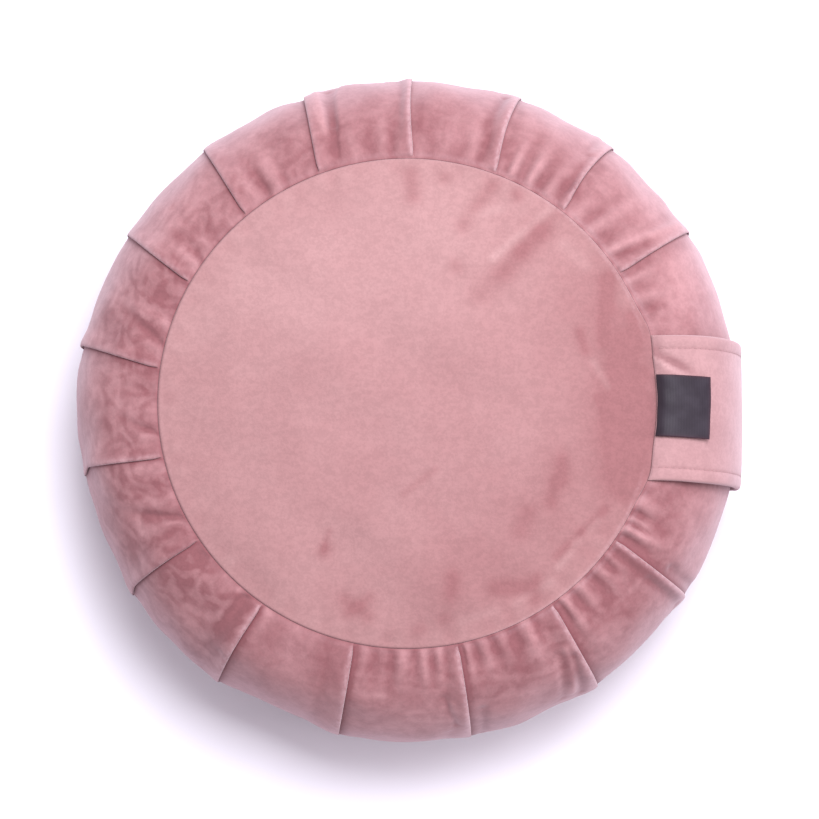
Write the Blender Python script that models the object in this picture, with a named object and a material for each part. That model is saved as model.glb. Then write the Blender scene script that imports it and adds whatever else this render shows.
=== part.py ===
"""Round meditation cushion with a pleated side, two round panels, a carrying handle and a bare label.

Metres, +Z up. The origin is the centre of the bottom panel, on the surface that the cushion rests on.
Round the cushion, a bearing is an angle in degrees from +Y, turning towards +X. The handle is at +X.
"""

import bmesh
import bpy
import numpy as np

# Driving dimensions, in metres
SIDE_RADIUS = 0.1888  # at the widest level, between the pleats
WIDEST_Z = 0.062
TOP_SEAM_Z = 0.1195
BOTTOM_SEAM_Z = 0.0042
SEAM_RADIUS = 0.1380
SEAM_OVAL = 0.0010  # the seam is this much wider towards the handle, and as much narrower across it
TOP_FULLNESS = 2.1  # 2 is an ellipse, more is boxier
BOTTOM_FULLNESS = 1.9
CROWN = 0.0150  # how far the top panel's middle stands above its seam
CLOTH = 0.0026  # one layer of plush with its pile
GAP = 0.0003
HEEL = 0.0032  # how deep a panel's edge is turned into its seam
HEEL_RADIUS = 0.1358

# The top panel: the radii of its outer face on the crown, then its rolled edge, where in is how far inside
# the seam and down is how far below it, then the radii of its inner face.
TOP_DOME = [0.012, 0.040, 0.068, 0.092, 0.112, 0.126, 0.1335]
TOP_EDGE = [
    {"in": 0.0014, "down": 0.0004},
    {"in": 0.00015, "down": 0.0015},
    {"in": 0.00015, "down": 0.0030},
]
TOP_INSIDE = [0.120, 0.080, 0.035]

# The bottom panel: its outer face from its middle to its rolled edge, then the radii of its inner face.
BOTTOM_EDGE = [
    {"radius": 0.0600, "z": 0.0},
    {"radius": 0.1270, "z": 0.0},
    {"radius": 0.1325, "z": 0.0009},
    {"radius": 0.1360, "z": 0.0030},
    {"radius": 0.13785, "z": 0.0052},
    {"radius": 0.13785, "z": 0.0072},
]
BOTTOM_INSIDE = [0.1270, 0.0600]

SHARP = np.radians(50)  # edges bent by more than this are shaded sharp
PANEL_COLUMNS = 72
CORE_COLUMNS = 60
FILL_COLUMNS = 3  # columns of the side between two pleats
SLACK_COLUMNS = 13  # columns of the side behind the handle, where no pleat is laid
WIDE_STEP = 30  # degrees between two pleats, above which the side is slack and round
CHORD_SHARE = 0.5  # between pleats the side lies part of the way to a straight chord
GATHER_REACH = 0.0140  # how far from the seam its small ridges fade out
GATHERS = [
    {"turns": 41, "phase": 1.3, "height": 0.00070},
    {"turns": 67, "phase": 0.4, "height": 0.00042},
    {"turns": 23, "phase": 0.0, "height": 0.00035},
]
FOLD_AT_SEAM = 0.6  # the height of a fold at the seam, as a share of its height at the widest level
CROWN_POWER = 2.2  # 2 is a plain bowl, more is flatter in the middle

HANDLE_WIDTH = 0.0830
HANDLE_Y = -0.0025  # the middle of the handle
HANDLE_THICK = 0.0030
HANDLE_END_THICK = 0.0018
HANDLE_ROWS = 26
HEM = 0.0074  # from the handle's edge to its topstitching
HEM_STEPS = [1.5, 1.0, 0.5]  # where the strap has columns beside its topstitching, in hems
HANDLE_ROLL = 0.0010  # the rounding of its edges
ROLL_DROP = 0.08  # how far a rolled edge starts to drop, as a share of the thickness
STAND_BLUR = 13  # how many of the route's points the strap's stand-off is averaged over
MIDDLE_COLUMNS = 7
STITCH_DEPTH = 0.0006
HANDLE_ROUND = 0.25  # how much of the side's curve the handle takes across its width
SEAM_ROUND = 0.09  # the share of the handle's length over which it leaves the round seam
END_SHARE = 0.05  # the share of its length over which a seam presses it thinner

LABEL_LOW_Y = -0.0198
LABEL_HIGH_Y = 0.0159
LABEL_LENGTH = 0.0312
LABEL_THICK = 0.0011
LABEL_LIFT = 0.0016
LIFT_POWER = 3  # how late along the label its low corner starts to rise
LABEL_START = 0.0008  # from the handle's end to the label's
LABEL_ROWS = 9
LABEL_COLUMNS = 5

# The pleats in order round the cushion. Bearings at the widest level and at the seam, in degrees.
# turn is 1 where the folded edge faces on round the cushion, and -1 where it faces back.
PLEATS = [
    {"wide": 0.3, "seam": 1.0, "turn": 1},
    {"wide": 18.8, "seam": 20.8, "turn": 1},
    {"wide": 36.5, "seam": 39.0, "turn": 1},
    {"wide": 57.5, "seam": 58.3, "turn": 1},
    {"wide": 124.0, "seam": 123.5, "turn": -1},
    {"wide": 145.8, "seam": 144.3, "turn": -1},
    {"wide": 169.3, "seam": 168.3, "turn": -1},
    {"wide": 191.8, "seam": 192.6, "turn": -1},
    {"wide": 214.8, "seam": 215.5, "turn": -1},
    {"wide": 236.8, "seam": 236.5, "turn": -1},
    {"wide": 259.6, "seam": 257.5, "turn": -1},
    {"wide": 281.3, "seam": 278.0, "turn": -1},
    {"wide": 302.0, "seam": 298.7, "turn": -1},
    {"wide": 322.0, "seam": 319.3, "turn": -1},
    {"wide": 341.8, "seam": 339.0, "turn": -1},
]

# One pleat cut across, in millimetres. along runs the way the folded edge faces, and sewn is the same
# where the seam presses the fold shut. out is off the side.
FOLD = [
    {"sewn": -9.0, "along": -12.0, "out": 0.3},
    {"sewn": -4.0, "along": -5.0, "out": 1.5},
    {"sewn": -1.4, "along": -1.2, "out": 2.7},
    {"sewn": -0.6, "along": 0.3, "out": 2.1},
    {"sewn": -0.3, "along": 0.1, "out": 1.1},
    {"sewn": 0.0, "along": -1.6, "out": 0.6},
    {"sewn": 0.3, "along": -1.2, "out": -0.2},
    {"sewn": 1.0, "along": 1.2, "out": -0.5},
    {"sewn": 4.0, "along": 5.0, "out": -0.6},
    {"sewn": 9.0, "along": 12.0, "out": -0.1},
]
PRESSED = 0.20  # the share of the way out from the seam where the folds come open

# The rolled lip of the side at a seam, in millimetres: out is from the seam, in is into the cushion.
LIP = [
    {"out": 0.15, "in": 3.55},
    {"out": 0.15, "in": 1.5},
    {"out": 1.1, "in": 0.35},
]

# The side's arc from the top seam to the bottom one: degrees up from the widest level.
ARC = [86, 76, 65, 53, 41, 28, 14, 0, -14, -28, -41, -53, -65, -76, -86]

# How far the handle's inner face stands off the side: at is in the arc's degrees, off in millimetres.
HANDLE_STAND = [
    {"at": 90, "off": 0.6},
    {"at": 76, "off": 0.8},
    {"at": 60, "off": 1.3},
    {"at": 40, "off": 1.4},
    {"at": 20, "off": 0.7},
    {"at": 5, "off": 0.5},
    {"at": -12, "off": 2.0},
    {"at": -28, "off": 6.5},
    {"at": -42, "off": 10.6},
    {"at": -52, "off": 11.3},
    {"at": -60, "off": 9.0},
    {"at": -67, "off": 5.4},
    {"at": -75, "off": 2.4},
    {"at": -83, "off": 0.9},
    {"at": -90, "off": 0.5},
]


def column(table, name):
    """One named column of a table as an array."""
    return np.array([row[name] for row in table], float)


def seam_radius(bearing):
    """A circle, a little wider at bearings 90 and 270."""
    return SEAM_RADIUS - SEAM_OVAL * np.cos(2 * np.radians(bearing))


def arc_point(degrees):
    """How far out (0 at the seam, 1 at the widest level) and how high an angle of the side's arc is.

    It is a superellipse: cosine and sine raised to 2 / fullness.
    """
    angle = np.radians(degrees)
    power = 2 / np.where(np.asarray(degrees) >= 0, TOP_FULLNESS, BOTTOM_FULLNESS)
    drop = np.where(np.asarray(degrees) >= 0, TOP_SEAM_Z - WIDEST_Z, BOTTOM_SEAM_Z - WIDEST_Z)
    out = np.clip(np.cos(angle), 0, 1) ** power
    return out, WIDEST_Z + drop * np.abs(np.sin(angle)) ** power


def arc_normal(degrees, step=0.5):
    """The unit vector (out, up) that points off the side's arc, from two nearby points."""
    width = SIDE_RADIUS - SEAM_RADIUS
    high_out, high_z = arc_point(np.minimum(np.asarray(degrees) + step, 90))
    low_out, low_z = arc_point(np.maximum(np.asarray(degrees) - step, -90))
    run = (high_out - low_out) * width
    rise = high_z - low_z
    length = np.hypot(run, rise)
    return rise / length, -run / length


def gathers(bearing, from_seam):
    """Small ridges that the seam's stitches draw up, fading out with the distance from the seam."""
    angle = np.radians(bearing)
    wave = sum(row["height"] * np.sin(row["turns"] * angle + row["phase"]) for row in GATHERS)
    return wave * np.exp(-from_seam / GATHER_REACH)


def corners(share):
    """The pleats' bearings where the side is this share of the way out from the seam."""
    seam = column(PLEATS, "seam")
    return seam + (column(PLEATS, "wide") - seam) * share


def chord_drop(bearing, share):
    """How much smaller the radius is between two pleats, where the side tends to a straight chord."""
    at = corners(share)
    at = np.append(at, at[0] + 360)
    after = np.clip(np.searchsorted(at, bearing, side="right"), 1, len(at) - 1)
    half = (at[after] - at[after - 1]) / 2
    from_middle = np.radians(bearing - (at[after] + at[after - 1]) / 2)
    chord = np.cos(np.radians(half)) / np.cos(from_middle)
    return np.where(2 * half < WIDE_STEP, CHORD_SHARE * share * (1 - chord), 0)


def side_columns(share, radius):
    """Bearings and offsets of all columns at one level: each pleat's fold, then the cloth up to the next.

    share is how far out the level is, from 0 at the seam to 1 at the widest.
    """
    sewn = column(FOLD, "sewn") / 1000
    along = sewn + (column(FOLD, "along") / 1000 - sewn) * min(share / PRESSED, 1)
    out = column(FOLD, "out") / 1000
    at = corners(share)
    folds = []
    for pleat, middle in zip(PLEATS, at):
        reach = np.degrees(along / radius)
        bearings = middle + pleat["turn"] * reach
        raised = out * (FOLD_AT_SEAM + (1 - FOLD_AT_SEAM) * share)
        folds.append((bearings[:: pleat["turn"]], raised[:: pleat["turn"]]))
    bearings = []
    offsets = []
    nexts = [fold[0] for fold, raised in folds[1:]] + [folds[0][0][0] + 360]
    for (fold, raised), following in zip(folds, nexts):
        count = SLACK_COLUMNS if following - fold[-1] > WIDE_STEP else FILL_COLUMNS
        between = np.linspace(fold[-1], following, count + 2)[1:-1]
        bearings.append(np.append(fold, between))
        offsets.append(np.append(raised, np.zeros(count)))
    return np.concatenate(bearings), np.concatenate(offsets)


def place(radius, bearing, z):
    """Points at radii and bearings round the cushion's axis."""
    angle = np.radians(bearing)
    z = np.broadcast_to(z, angle.shape)
    return np.stack([radius * np.sin(angle), radius * np.cos(angle), z], axis=-1)


def lip_ring(lip, seam_z, inward):
    """One ring of the rolled lip: inward is -1 at the top seam and 1 at the bottom one."""
    bearing = side_columns(0.0, SEAM_RADIUS)[0]
    return place(seam_radius(bearing) + lip["out"] / 1000, bearing, seam_z + inward * lip["in"] / 1000)


def arc_ring(degrees):
    """One ring of the side on its arc, with its pleats, chords and gathers."""
    share, z = arc_point(degrees)
    out, up = arc_normal(degrees)
    bearing, raised = side_columns(share, SEAM_RADIUS + (SIDE_RADIUS - SEAM_RADIUS) * share)
    seam = seam_radius(bearing)
    radius = seam + (SIDE_RADIUS - seam) * share
    radius = radius * (1 - chord_drop(bearing, share))
    raised = raised + gathers(bearing, share * (SIDE_RADIUS - SEAM_RADIUS))
    return place(radius + raised * out, bearing, z + raised * up)


def crown_z(radius):
    """The top panel's outer face: a shallow dome that steepens towards its seam."""
    share = np.clip(radius / SEAM_RADIUS, 0, 1)
    return TOP_SEAM_Z + CROWN * (1 - share**CROWN_POWER)


def material(name, colour, roughness, sheen):
    """A plain cloth finish."""
    made = bpy.data.materials.new(name)
    made.use_nodes = True
    shader = made.node_tree.nodes["Principled BSDF"]
    shader.inputs["Base Color"].default_value = (*colour, 1)
    shader.inputs["Roughness"].default_value = roughness
    shader.inputs["Metallic"].default_value = 0
    shader.inputs["Sheen Weight"].default_value = sheen
    made.diffuse_color = (*colour, 1)
    return made


def add_ring(mesh, points):
    """Vertices of one ring."""
    return [mesh.verts.new(point) for point in points]


def join_rings(mesh, upper, lower):
    """Quads between two rings of equal length, facing outwards when upper is above lower."""
    count = len(upper)
    for near in range(count):
        far = (near + 1) % count
        mesh.faces.new((upper[near], upper[far], lower[far], lower[near]))


def zip_rings(mesh, outer, inner):
    """Triangles between two rings of unequal length, taking the nearer step round at each turn."""
    steps_out = 0
    steps_in = 0
    while steps_out < len(outer) or steps_in < len(inner):
        here_out = outer[steps_out % len(outer)]
        here_in = inner[steps_in % len(inner)]
        if steps_in == len(inner) or (steps_out + 0.5) / len(outer) < (steps_in + 0.5) / len(inner):
            steps_out += 1
            mesh.faces.new((here_out, here_in, outer[steps_out % len(outer)]))
        else:
            steps_in += 1
            mesh.faces.new((here_out, here_in, inner[steps_in % len(inner)]))


def finish(mesh, name, finish_material):
    """Closes the mesh up as one solid object with its faces pointing out."""
    bmesh.ops.recalc_face_normals(mesh, faces=mesh.faces)
    data = bpy.data.meshes.new(name)
    mesh.to_mesh(data)
    mesh.free()
    if sum_volume(data) < 0:
        data.flip_normals()
    data.materials.append(finish_material)
    data.shade_smooth()
    data.set_sharp_from_angle(angle=SHARP)
    made = bpy.data.objects.new(name, data)
    bpy.context.scene.collection.objects.link(made)
    return made


def sum_volume(data):
    """The signed volume inside a closed mesh."""
    data.calc_loop_triangles()
    points = np.array([vertex.co for vertex in data.vertices])
    corner = points[np.array([triangle.vertices for triangle in data.loop_triangles])]
    return float((corner[:, 0] * np.cross(corner[:, 1], corner[:, 2])).sum() / 6)


def round_ring(radius, z, count):
    """A ring of equal steps that follows the seam's slight oval."""
    bearing = np.arange(count) * 360 / count
    oval = (seam_radius(bearing) - SEAM_RADIUS) * radius / SEAM_RADIUS
    return place(radius + oval, bearing, z)


def make_side(cloth):
    """The pleated side, with the filled body inside it up to the two panels."""
    mesh = bmesh.new()
    rings = [add_ring(mesh, lip_ring(lip, TOP_SEAM_Z, -1)) for lip in LIP]
    rings += [add_ring(mesh, arc_ring(degrees)) for degrees in ARC]
    rings += [add_ring(mesh, lip_ring(lip, BOTTOM_SEAM_Z, 1)) for lip in reversed(LIP)]
    for upper, lower in zip(rings, rings[1:]):
        join_rings(mesh, upper, lower)
    under = CLOTH + GAP
    crown = [(HEEL_RADIUS, TOP_SEAM_Z - HEEL - GAP)]
    crown += [(radius, crown_z(radius) - under) for radius in TOP_INSIDE]
    base = [(HEEL_RADIUS, BOTTOM_SEAM_Z + HEEL + GAP), (BOTTOM_INSIDE[0] - GAP, under)]
    for end, steps in ((rings[0], crown), (rings[-1], base)):
        core = [add_ring(mesh, round_ring(radius, z, CORE_COLUMNS)) for radius, z in steps]
        zip_rings(mesh, end, core[0])
        for outer, inner in zip(core, core[1:]):
            join_rings(mesh, inner, outer)
        mesh.faces.new(core[-1])
    return finish(mesh, "pleated_side", cloth)


def make_panel(name, outer_face, inner_face, cloth):
    """A round of cloth from rings of (radius, z): the outer face from its middle, then back inside."""
    mesh = bmesh.new()
    faces = outer_face + inner_face
    rings = [add_ring(mesh, round_ring(radius, z, PANEL_COLUMNS)) for radius, z in faces]
    for one, other in zip(rings, rings[1:]):
        join_rings(mesh, one, other)
    mesh.faces.new(rings[0])
    mesh.faces.new(rings[-1])
    return finish(mesh, name, cloth)


def make_top(cloth):
    """The crowned top panel, its edge rolled down into the seam."""
    outer = [(radius, crown_z(radius)) for radius in TOP_DOME]
    outer += [(SEAM_RADIUS - row["in"], TOP_SEAM_Z - row["down"]) for row in TOP_EDGE]
    inner = [(HEEL_RADIUS, TOP_SEAM_Z - HEEL)]
    inner += [(radius, crown_z(radius) - CLOTH) for radius in TOP_INSIDE]
    return make_panel("top_panel", outer, inner, cloth)


def make_bottom(cloth):
    """The bottom panel, flat on the surface and rolled up into its seam."""
    outer = [(row["radius"], row["z"]) for row in BOTTOM_EDGE]
    inner = [(HEEL_RADIUS, BOTTOM_SEAM_Z + HEEL)]
    inner += [(radius, CLOTH) for radius in BOTTOM_INSIDE]
    return make_panel("bottom_panel", outer, inner, cloth)


def handle_route(count):
    """The handle's inner face along its middle: x, z, the unit vectors off it and the share of its length.

    The vectors never lean in over a panel.
    """
    degrees = np.linspace(90, -90, 4 * count)
    share, z = arc_point(degrees)
    out, up = arc_normal(degrees)
    table = sorted(HANDLE_STAND, key=lambda row: row["at"])
    off = np.interp(degrees, column(table, "at"), column(table, "off")) / 1000
    blur = np.ones(STAND_BLUR) / STAND_BLUR
    off = np.convolve(np.pad(off, STAND_BLUR // 2, mode="edge"), blur, mode="valid")
    seam = float(seam_radius(90.0))
    x = seam + (SIDE_RADIUS - seam) * share + off * out
    z = z + off * up
    length = np.append(0, np.cumsum(np.hypot(np.diff(x), np.diff(z))))
    even = np.linspace(0, length[-1], count)
    x = np.interp(even, length, x)
    z = np.interp(even, length, z)
    along_x = np.gradient(x)
    along_z = np.gradient(z)
    size = np.hypot(along_x, along_z)
    return x, z, np.maximum(-along_z / size, 0), along_x / size, even / length[-1]


def seam_bow(across, share):
    """How far back the handle lies at a place across it, next to a round seam or on the side."""
    seam = float(seam_radius(90.0))
    bow = seam - np.sqrt(seam**2 - across**2)
    near = np.clip(np.minimum(share, 1 - share) / SEAM_ROUND, 0, 1)
    return bow * (1 - (1 - HANDLE_ROUND) * near * near * (3 - 2 * near))


def handle_thickness(share):
    """The strap's thickness at a share of its length, pressed thinner in the two seams."""
    near = np.clip(np.minimum(share, 1 - share) / END_SHARE, 0, 1)
    return HANDLE_END_THICK + (HANDLE_THICK - HANDLE_END_THICK) * near


def handle_section():
    """The strap cut across: rows of (across, out, trough), with out from 0 inside to 1 outside.

    The outside and the inside have their points at the same places across, between one point at each
    edge. The trough is 1 on the two lines of topstitching.
    """
    half = HANDLE_WIDTH / 2
    hem = half - np.append(HEM * np.array(HEM_STEPS), HANDLE_ROLL)
    middle = np.linspace(-hem[0], hem[0], MIDDLE_COLUMNS)
    across = np.concatenate([-hem[:0:-1], middle, hem[1:]])
    roll = np.where(np.isclose(np.abs(across), half - HANDLE_ROLL), ROLL_DROP, 0)
    stitched = np.isclose(np.abs(across), half - HEM)
    outside = np.stack([across, 1 - roll, stitched], axis=-1)
    inside = np.stack([across, roll, np.zeros(len(across))], axis=-1)[::-1]
    return np.concatenate([[(-half, 0.5, 0)], outside, [(half, 0.5, 0)], inside])


def close_strap(mesh, ring):
    """The end of the strap: faces from each place outside to the same place inside."""
    ring = ring[1:] + ring[:1]
    last = len(ring) - 1
    for near in range(last // 2):
        around = [ring[near], ring[near + 1], ring[last - near - 2], ring[last - near - 1]]
        mesh.faces.new(list(dict.fromkeys(around)))
    mesh.faces.new((ring[0], ring[last - 1], ring[last]))


def make_handle(cloth):
    """The strap: its section carried along its route, thinner where it runs into the two seams."""
    x, z, out, up, share = handle_route(HANDLE_ROWS)
    section = handle_section()
    mesh = bmesh.new()
    rings = []
    for row in range(HANDLE_ROWS):
        across = section[:, 0] + HANDLE_Y
        off = section[:, 1] * handle_thickness(share[row]) - section[:, 2] * STITCH_DEPTH
        points_x = x[row] + GAP + off * out[row] - seam_bow(across, share[row])
        points = np.stack([points_x, across, z[row] + off * up[row]], axis=-1)
        rings.append(add_ring(mesh, points))
    for one, other in zip(rings, rings[1:]):
        join_rings(mesh, one, other)
    close_strap(mesh, rings[0])
    close_strap(mesh, rings[-1])
    return finish(mesh, "handle", cloth)


def make_label(cloth):
    """The label: a small sheet on the handle, from the top seam outwards, its low corner lifted."""
    x, z, out, up, share = handle_route(4 * HANDLE_ROWS)
    route = np.append(0, np.cumsum(np.hypot(np.diff(x), np.diff(z))))
    along = np.linspace(LABEL_START, LABEL_LENGTH, LABEL_ROWS)
    across = np.linspace(LABEL_LOW_Y, LABEL_HIGH_Y, LABEL_COLUMNS)
    down, over = np.meshgrid(along, across, indexing="ij")
    to_low_side = (LABEL_HIGH_Y - over) / (LABEL_HIGH_Y - LABEL_LOW_Y)
    lift = LABEL_LIFT * (down / LABEL_LENGTH) ** LIFT_POWER * to_low_side
    share_at = np.interp(down, route, share)
    base = handle_thickness(share_at) + GAP + lift
    faces = []
    mesh = bmesh.new()
    for height in (base + LABEL_THICK, base):
        away = GAP + height * np.interp(down, route, out) - seam_bow(over, share_at)
        points_x = np.interp(down, route, x) + away
        points_z = np.interp(down, route, z) + height * np.interp(down, route, up)
        points = np.stack([points_x, over, points_z], axis=-1)
        faces.append([add_ring(mesh, row) for row in points])
    for sheet in faces:
        for one, other in zip(sheet, sheet[1:]):
            for near in range(len(one) - 1):
                mesh.faces.new((one[near], one[near + 1], other[near + 1], other[near]))
    rims = []
    for sheet in faces:
        rim = sheet[0][:-1] + [row[-1] for row in sheet[:-1]]
        rim += sheet[-1][:0:-1] + [row[0] for row in reversed(sheet[1:])]
        rims.append(rim)
    join_rings(mesh, rims[0], rims[1])
    return finish(mesh, "label", cloth)


def main():
    for old in list(bpy.data.objects):
        bpy.data.objects.remove(old, do_unlink=True)
    make_side(material("plush_side", (0.56, 0.27, 0.29), 0.9, 0.6))
    make_top(material("plush_top", (0.62, 0.32, 0.34), 0.9, 0.6))
    make_bottom(material("plush_bottom", (0.56, 0.27, 0.29), 0.9, 0.6))
    make_handle(material("plush_handle", (0.65, 0.35, 0.37), 0.85, 0.5))
    make_label(material("woven_label", (0.03, 0.028, 0.035), 0.6, 0.0))


main()
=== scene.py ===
# %% [markdown]
# # A round meditation cushion with a pleated side
#
# The real cushion is cut from one dusty pink plush. Two rounds are sewn to a long side band, and the band
# is laid in fifteen pleats so that it can stand out round the filling. A flat strap crosses the side as a
# handle, and a small woven label is caught in the same seam.
#
# A frame of plain solids comes first. It fixes the sizes and the place of each piece. This script
# then puts finely made cloth over each solid: shapes are worked out with numpy on grids, and one short
# cloth simulation tells how the filling pushes the side out between the pleats.

import math

import bmesh
import bpy
import numpy as np
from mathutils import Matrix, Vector


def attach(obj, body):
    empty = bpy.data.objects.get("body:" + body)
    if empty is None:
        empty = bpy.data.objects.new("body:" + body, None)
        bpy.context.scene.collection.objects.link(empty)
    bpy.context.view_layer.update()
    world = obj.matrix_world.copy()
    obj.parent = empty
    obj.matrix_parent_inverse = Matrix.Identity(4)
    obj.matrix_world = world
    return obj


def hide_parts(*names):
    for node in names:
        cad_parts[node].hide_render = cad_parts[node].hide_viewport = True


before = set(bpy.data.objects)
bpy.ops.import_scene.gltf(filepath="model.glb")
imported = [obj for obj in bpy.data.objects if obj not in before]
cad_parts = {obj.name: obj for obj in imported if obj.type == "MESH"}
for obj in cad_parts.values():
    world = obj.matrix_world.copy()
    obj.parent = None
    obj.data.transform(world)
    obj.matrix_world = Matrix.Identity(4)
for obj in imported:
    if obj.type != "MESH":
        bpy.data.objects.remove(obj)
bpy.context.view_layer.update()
print("frame:", sorted(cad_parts))

# %% [markdown]
# ## The sizes
#
# The frame is in metres, with +Z up and its origin in the middle of the underside. A bearing is an angle
# in degrees from +Y, turning towards +X, and the handle is at +X. The values are those that the solids
# were made with, so that the fine cloth lies where the plain solid lies.

# %% Sizes of the cushion
SIDE_RADIUS = 0.1888  # at the widest level, between the pleats
WIDEST_Z = 0.062
TOP_SEAM_Z = 0.1195
BOTTOM_SEAM_Z = 0.0042
SEAM_RADIUS = 0.1380
SEAM_OVAL = 0.0010
SEAM_PULLED = [(73.5, 2.2), (107.0, 2.0)]  # the handle's two corners pull the top seam out: bearing, mm
SEAM_PULL_WIDTH = 4.6  # degrees
TOP_FULLNESS = 2.1  # 2 is an ellipse, more is boxier
BOTTOM_FULLNESS = 1.9
CROWN = 0.0150  # the top round's middle is this much above its seam
CROWN_POWER = 2.2
CLOTH = 0.0026  # the plush is this thick
GAP = 0.0003  # between two pieces that lie on each other
HEEL = 0.0032  # a round's rim reaches this far into its seam
HEEL_RADIUS = 0.1358
FLAT_RADIUS = 0.1270  # the bottom is flat up to here
LOWEST = 0.0002  # nothing of the side comes nearer to what the cushion stands on
LAY_RADIUS = 0.165  # the band's patterns are laid round a plain tube of this radius

# The pleats. wide and seam are bearings at the widest level and at the seam. turn is 1 where the folded
# edge faces on round the cushion, and -1 where it faces back. high scales the fold. The next four are in
# millimetres: tip is how far the fold stands proud of the outline, roll the width of the raised roll behind
# its edge, back the depth of the hollow behind the roll, and bow how far the fold bends sideways. pale is how
# strong the painted highlight along its edge is, and dim how strong the painted shade is where the cloth goes
# under the edge. hook turns the fold's line back at the outline, in degrees.
PLEAT_NAMES = ("wide", "seam", "turn", "high", "tip", "roll", "back", "bow", "pale", "dim", "hook")
PLEAT_ROWS = [
    (0.8, 1.5, 1, 1.0, 1.0, 4.5, 1.1, -1.4, 0.44, 0.3, 0.0),
    (20.1, 21.2, 1, 1.0, 1.1, 5.5, 1.2, -2.2, 0.48, 0.35, 0.0),
    (38.4, 39.4, 1, 1.0, 1.1, 6.0, 1.4, -2.6, 0.44, 0.4, 0.0),
    (58.0, 58.7, 1, 0.9, 1.1, 7.0, 0.8, -0.3, 0.37, 0.35, 0.0),
    (124.0, 123.5, -1, 1.0, 1.1, 5.0, 0.5, 0.6, 0.44, 1.3, 0.0),
    (145.6, 144.3, -1, 1.0, 1.1, 6.0, 0.8, 0.5, 0.48, 1.5, 0.0),
    (169.0, 168.2, -1, 1.0, 0.6, 6.5, 0.8, 0.0, 0.44, 1.5, 0.0),
    (191.9, 192.4, -1, 1.0, 0.5, 8.0, 0.5, -0.4, 0.41, 1.5, 0.0),
    (214.7, 215.5, -1, 1.0, 0.8, 8.0, 0.5, 0.3, 0.45, 1.1, 0.0),
    (236.6, 236.4, -1, 0.8, 0.9, 7.0, 0.2, 0.4, 0.15, 0.7, 0.6),
    (259.5, 257.2, -1, 0.75, 0.8, 7.0, 0.1, 0.0, 0.3, 0.7, 1.1),
    (281.0, 277.8, -1, 0.75, 2.4, 7.0, 0.1, 0.0, 0.2, 0.7, 0.0),
    (301.9, 298.9, -1, 0.85, 1.0, 7.0, 0.1, 0.0, 0.3, 0.6, 0.0),
    (322.0, 319.3, -1, 0.85, 1.0, 7.0, 0.2, 0.3, 0.15, 0.6, 0.0),
    (341.8, 339.0, -1, 1.0, 1.4, 8.0, 1.0, 0.6, 0.15, 0.6, 0.0),
]
PLEATS = [dict(zip(PLEAT_NAMES, row)) for row in PLEAT_ROWS]

# One pleat cut across, in millimetres. along runs the way the folded edge faces, out is off the side, and
# sewn takes the place of along where the seam presses the fold shut.
FOLD = [  # along, out, sewn
    (-13.0, 0.00, -9.00), (-9.5, 0.45, -6.60), (-6.5, 1.20, -4.60), (-4.2, 2.00, -3.10),
    (-2.6, 2.55, -1.90), (-1.3, 2.72, -1.10), (-0.3, 2.50, -0.70), (0.35, 1.95, -0.45),
    (0.50, 1.35, -0.35), (0.20, 0.90, -0.28), (-0.7, 0.62, -0.15), (-1.8, 0.40, 0.00),
    (-2.4, 0.10, 0.10), (-1.9, -0.22, 0.20), (-0.9, -0.42, 0.40), (0.5, -0.55, 0.80),
    (2.1, -0.65, 1.50), (4.6, -0.60, 3.00), (8.2, -0.35, 5.50), (13.0, 0.00, 9.00),
]
PRESSED = 0.14  # the share of the way out from the seam where the folds come open
FOLD_AT_SEAM = 0.6  # a fold's height at the seam, as a share of its full height
CHORD_SHARE = 0.12  # how far the side tends to a straight chord between two pleats
WIDE_STEP = 30  # pleats this many degrees apart have the handle between them, and no chord
print("pleats:", len(PLEATS))

# %% [markdown]
# ## Helpers for grids
#
# Nearly every piece is a grid: rows run one way and columns the other, and a point's place is a function
# of both. Whole arrays of points are computed at once, and the faces of a grid are computed the same way.
# A small smooth noise, a sum of sine waves in set directions, gives the lumps of a filled thing.

# %% Grid and noise helpers
def column(table, name):
    """One named column of a table as an array."""
    return np.array([row[name] for row in table], float)


def grid_faces(rows, columns, around=True, first=0):
    """Quads of a grid, facing outwards where the first row is above and columns run clockwise from above."""
    count = columns if around else columns - 1
    row, place = np.meshgrid(np.arange(rows - 1), np.arange(count), indexing="ij")
    here = first + row * columns + place
    beside = first + row * columns + (place + 1) % columns
    return np.stack([here, beside, beside + columns, here + columns], axis=-1).reshape(-1, 4)


def smooth_step(value):
    """0 below 0, 1 above 1, and three times its square less twice its cube between."""
    value = np.clip(value, 0, 1)
    return value * value * (3 - 2 * value)


def ramp(value, start, over):
    """0 up to start and 1 from start plus over on, smoothly."""
    return smooth_step((value - start) / over)


def bell(apart, wide):
    """A bell curve: 1 where apart is 0, and 1 / e where it equals wide."""
    return np.exp(-((apart / wide) ** 2))


def round_the_side(bearing, table):
    """A table's values at bearings, straight between its rows: one array for each column after the first."""
    at, *values = np.array(table, float).T
    return [np.interp(bearing % 360, at, value, period=360) for value in values]


def through(points, count):
    """Points evenly along a smooth line through the given ones: a Catmull-Rom spline, by its lengths."""
    points = np.asarray(points, float)
    ends = np.vstack([2 * points[0] - points[1], points, 2 * points[-1] - points[-2]])
    step = np.linspace(0, len(points) - 1, 40 * len(points))
    which = np.minimum(step.astype(int), len(points) - 2)
    t = (step - which)[:, None]
    a, b, c, d = (ends[which + k] for k in range(4))
    line = b + 0.5 * t * (c - a + t * (2 * a - 5 * b + 4 * c - d + t * (3 * (b - c) + d - a)))
    length = np.append(0, np.cumsum(np.linalg.norm(np.diff(line, axis=0), axis=1)))
    even = np.linspace(0, length[-1], count)
    return np.stack([np.interp(even, length, line[:, k]) for k in range(points.shape[1])], axis=-1)


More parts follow.
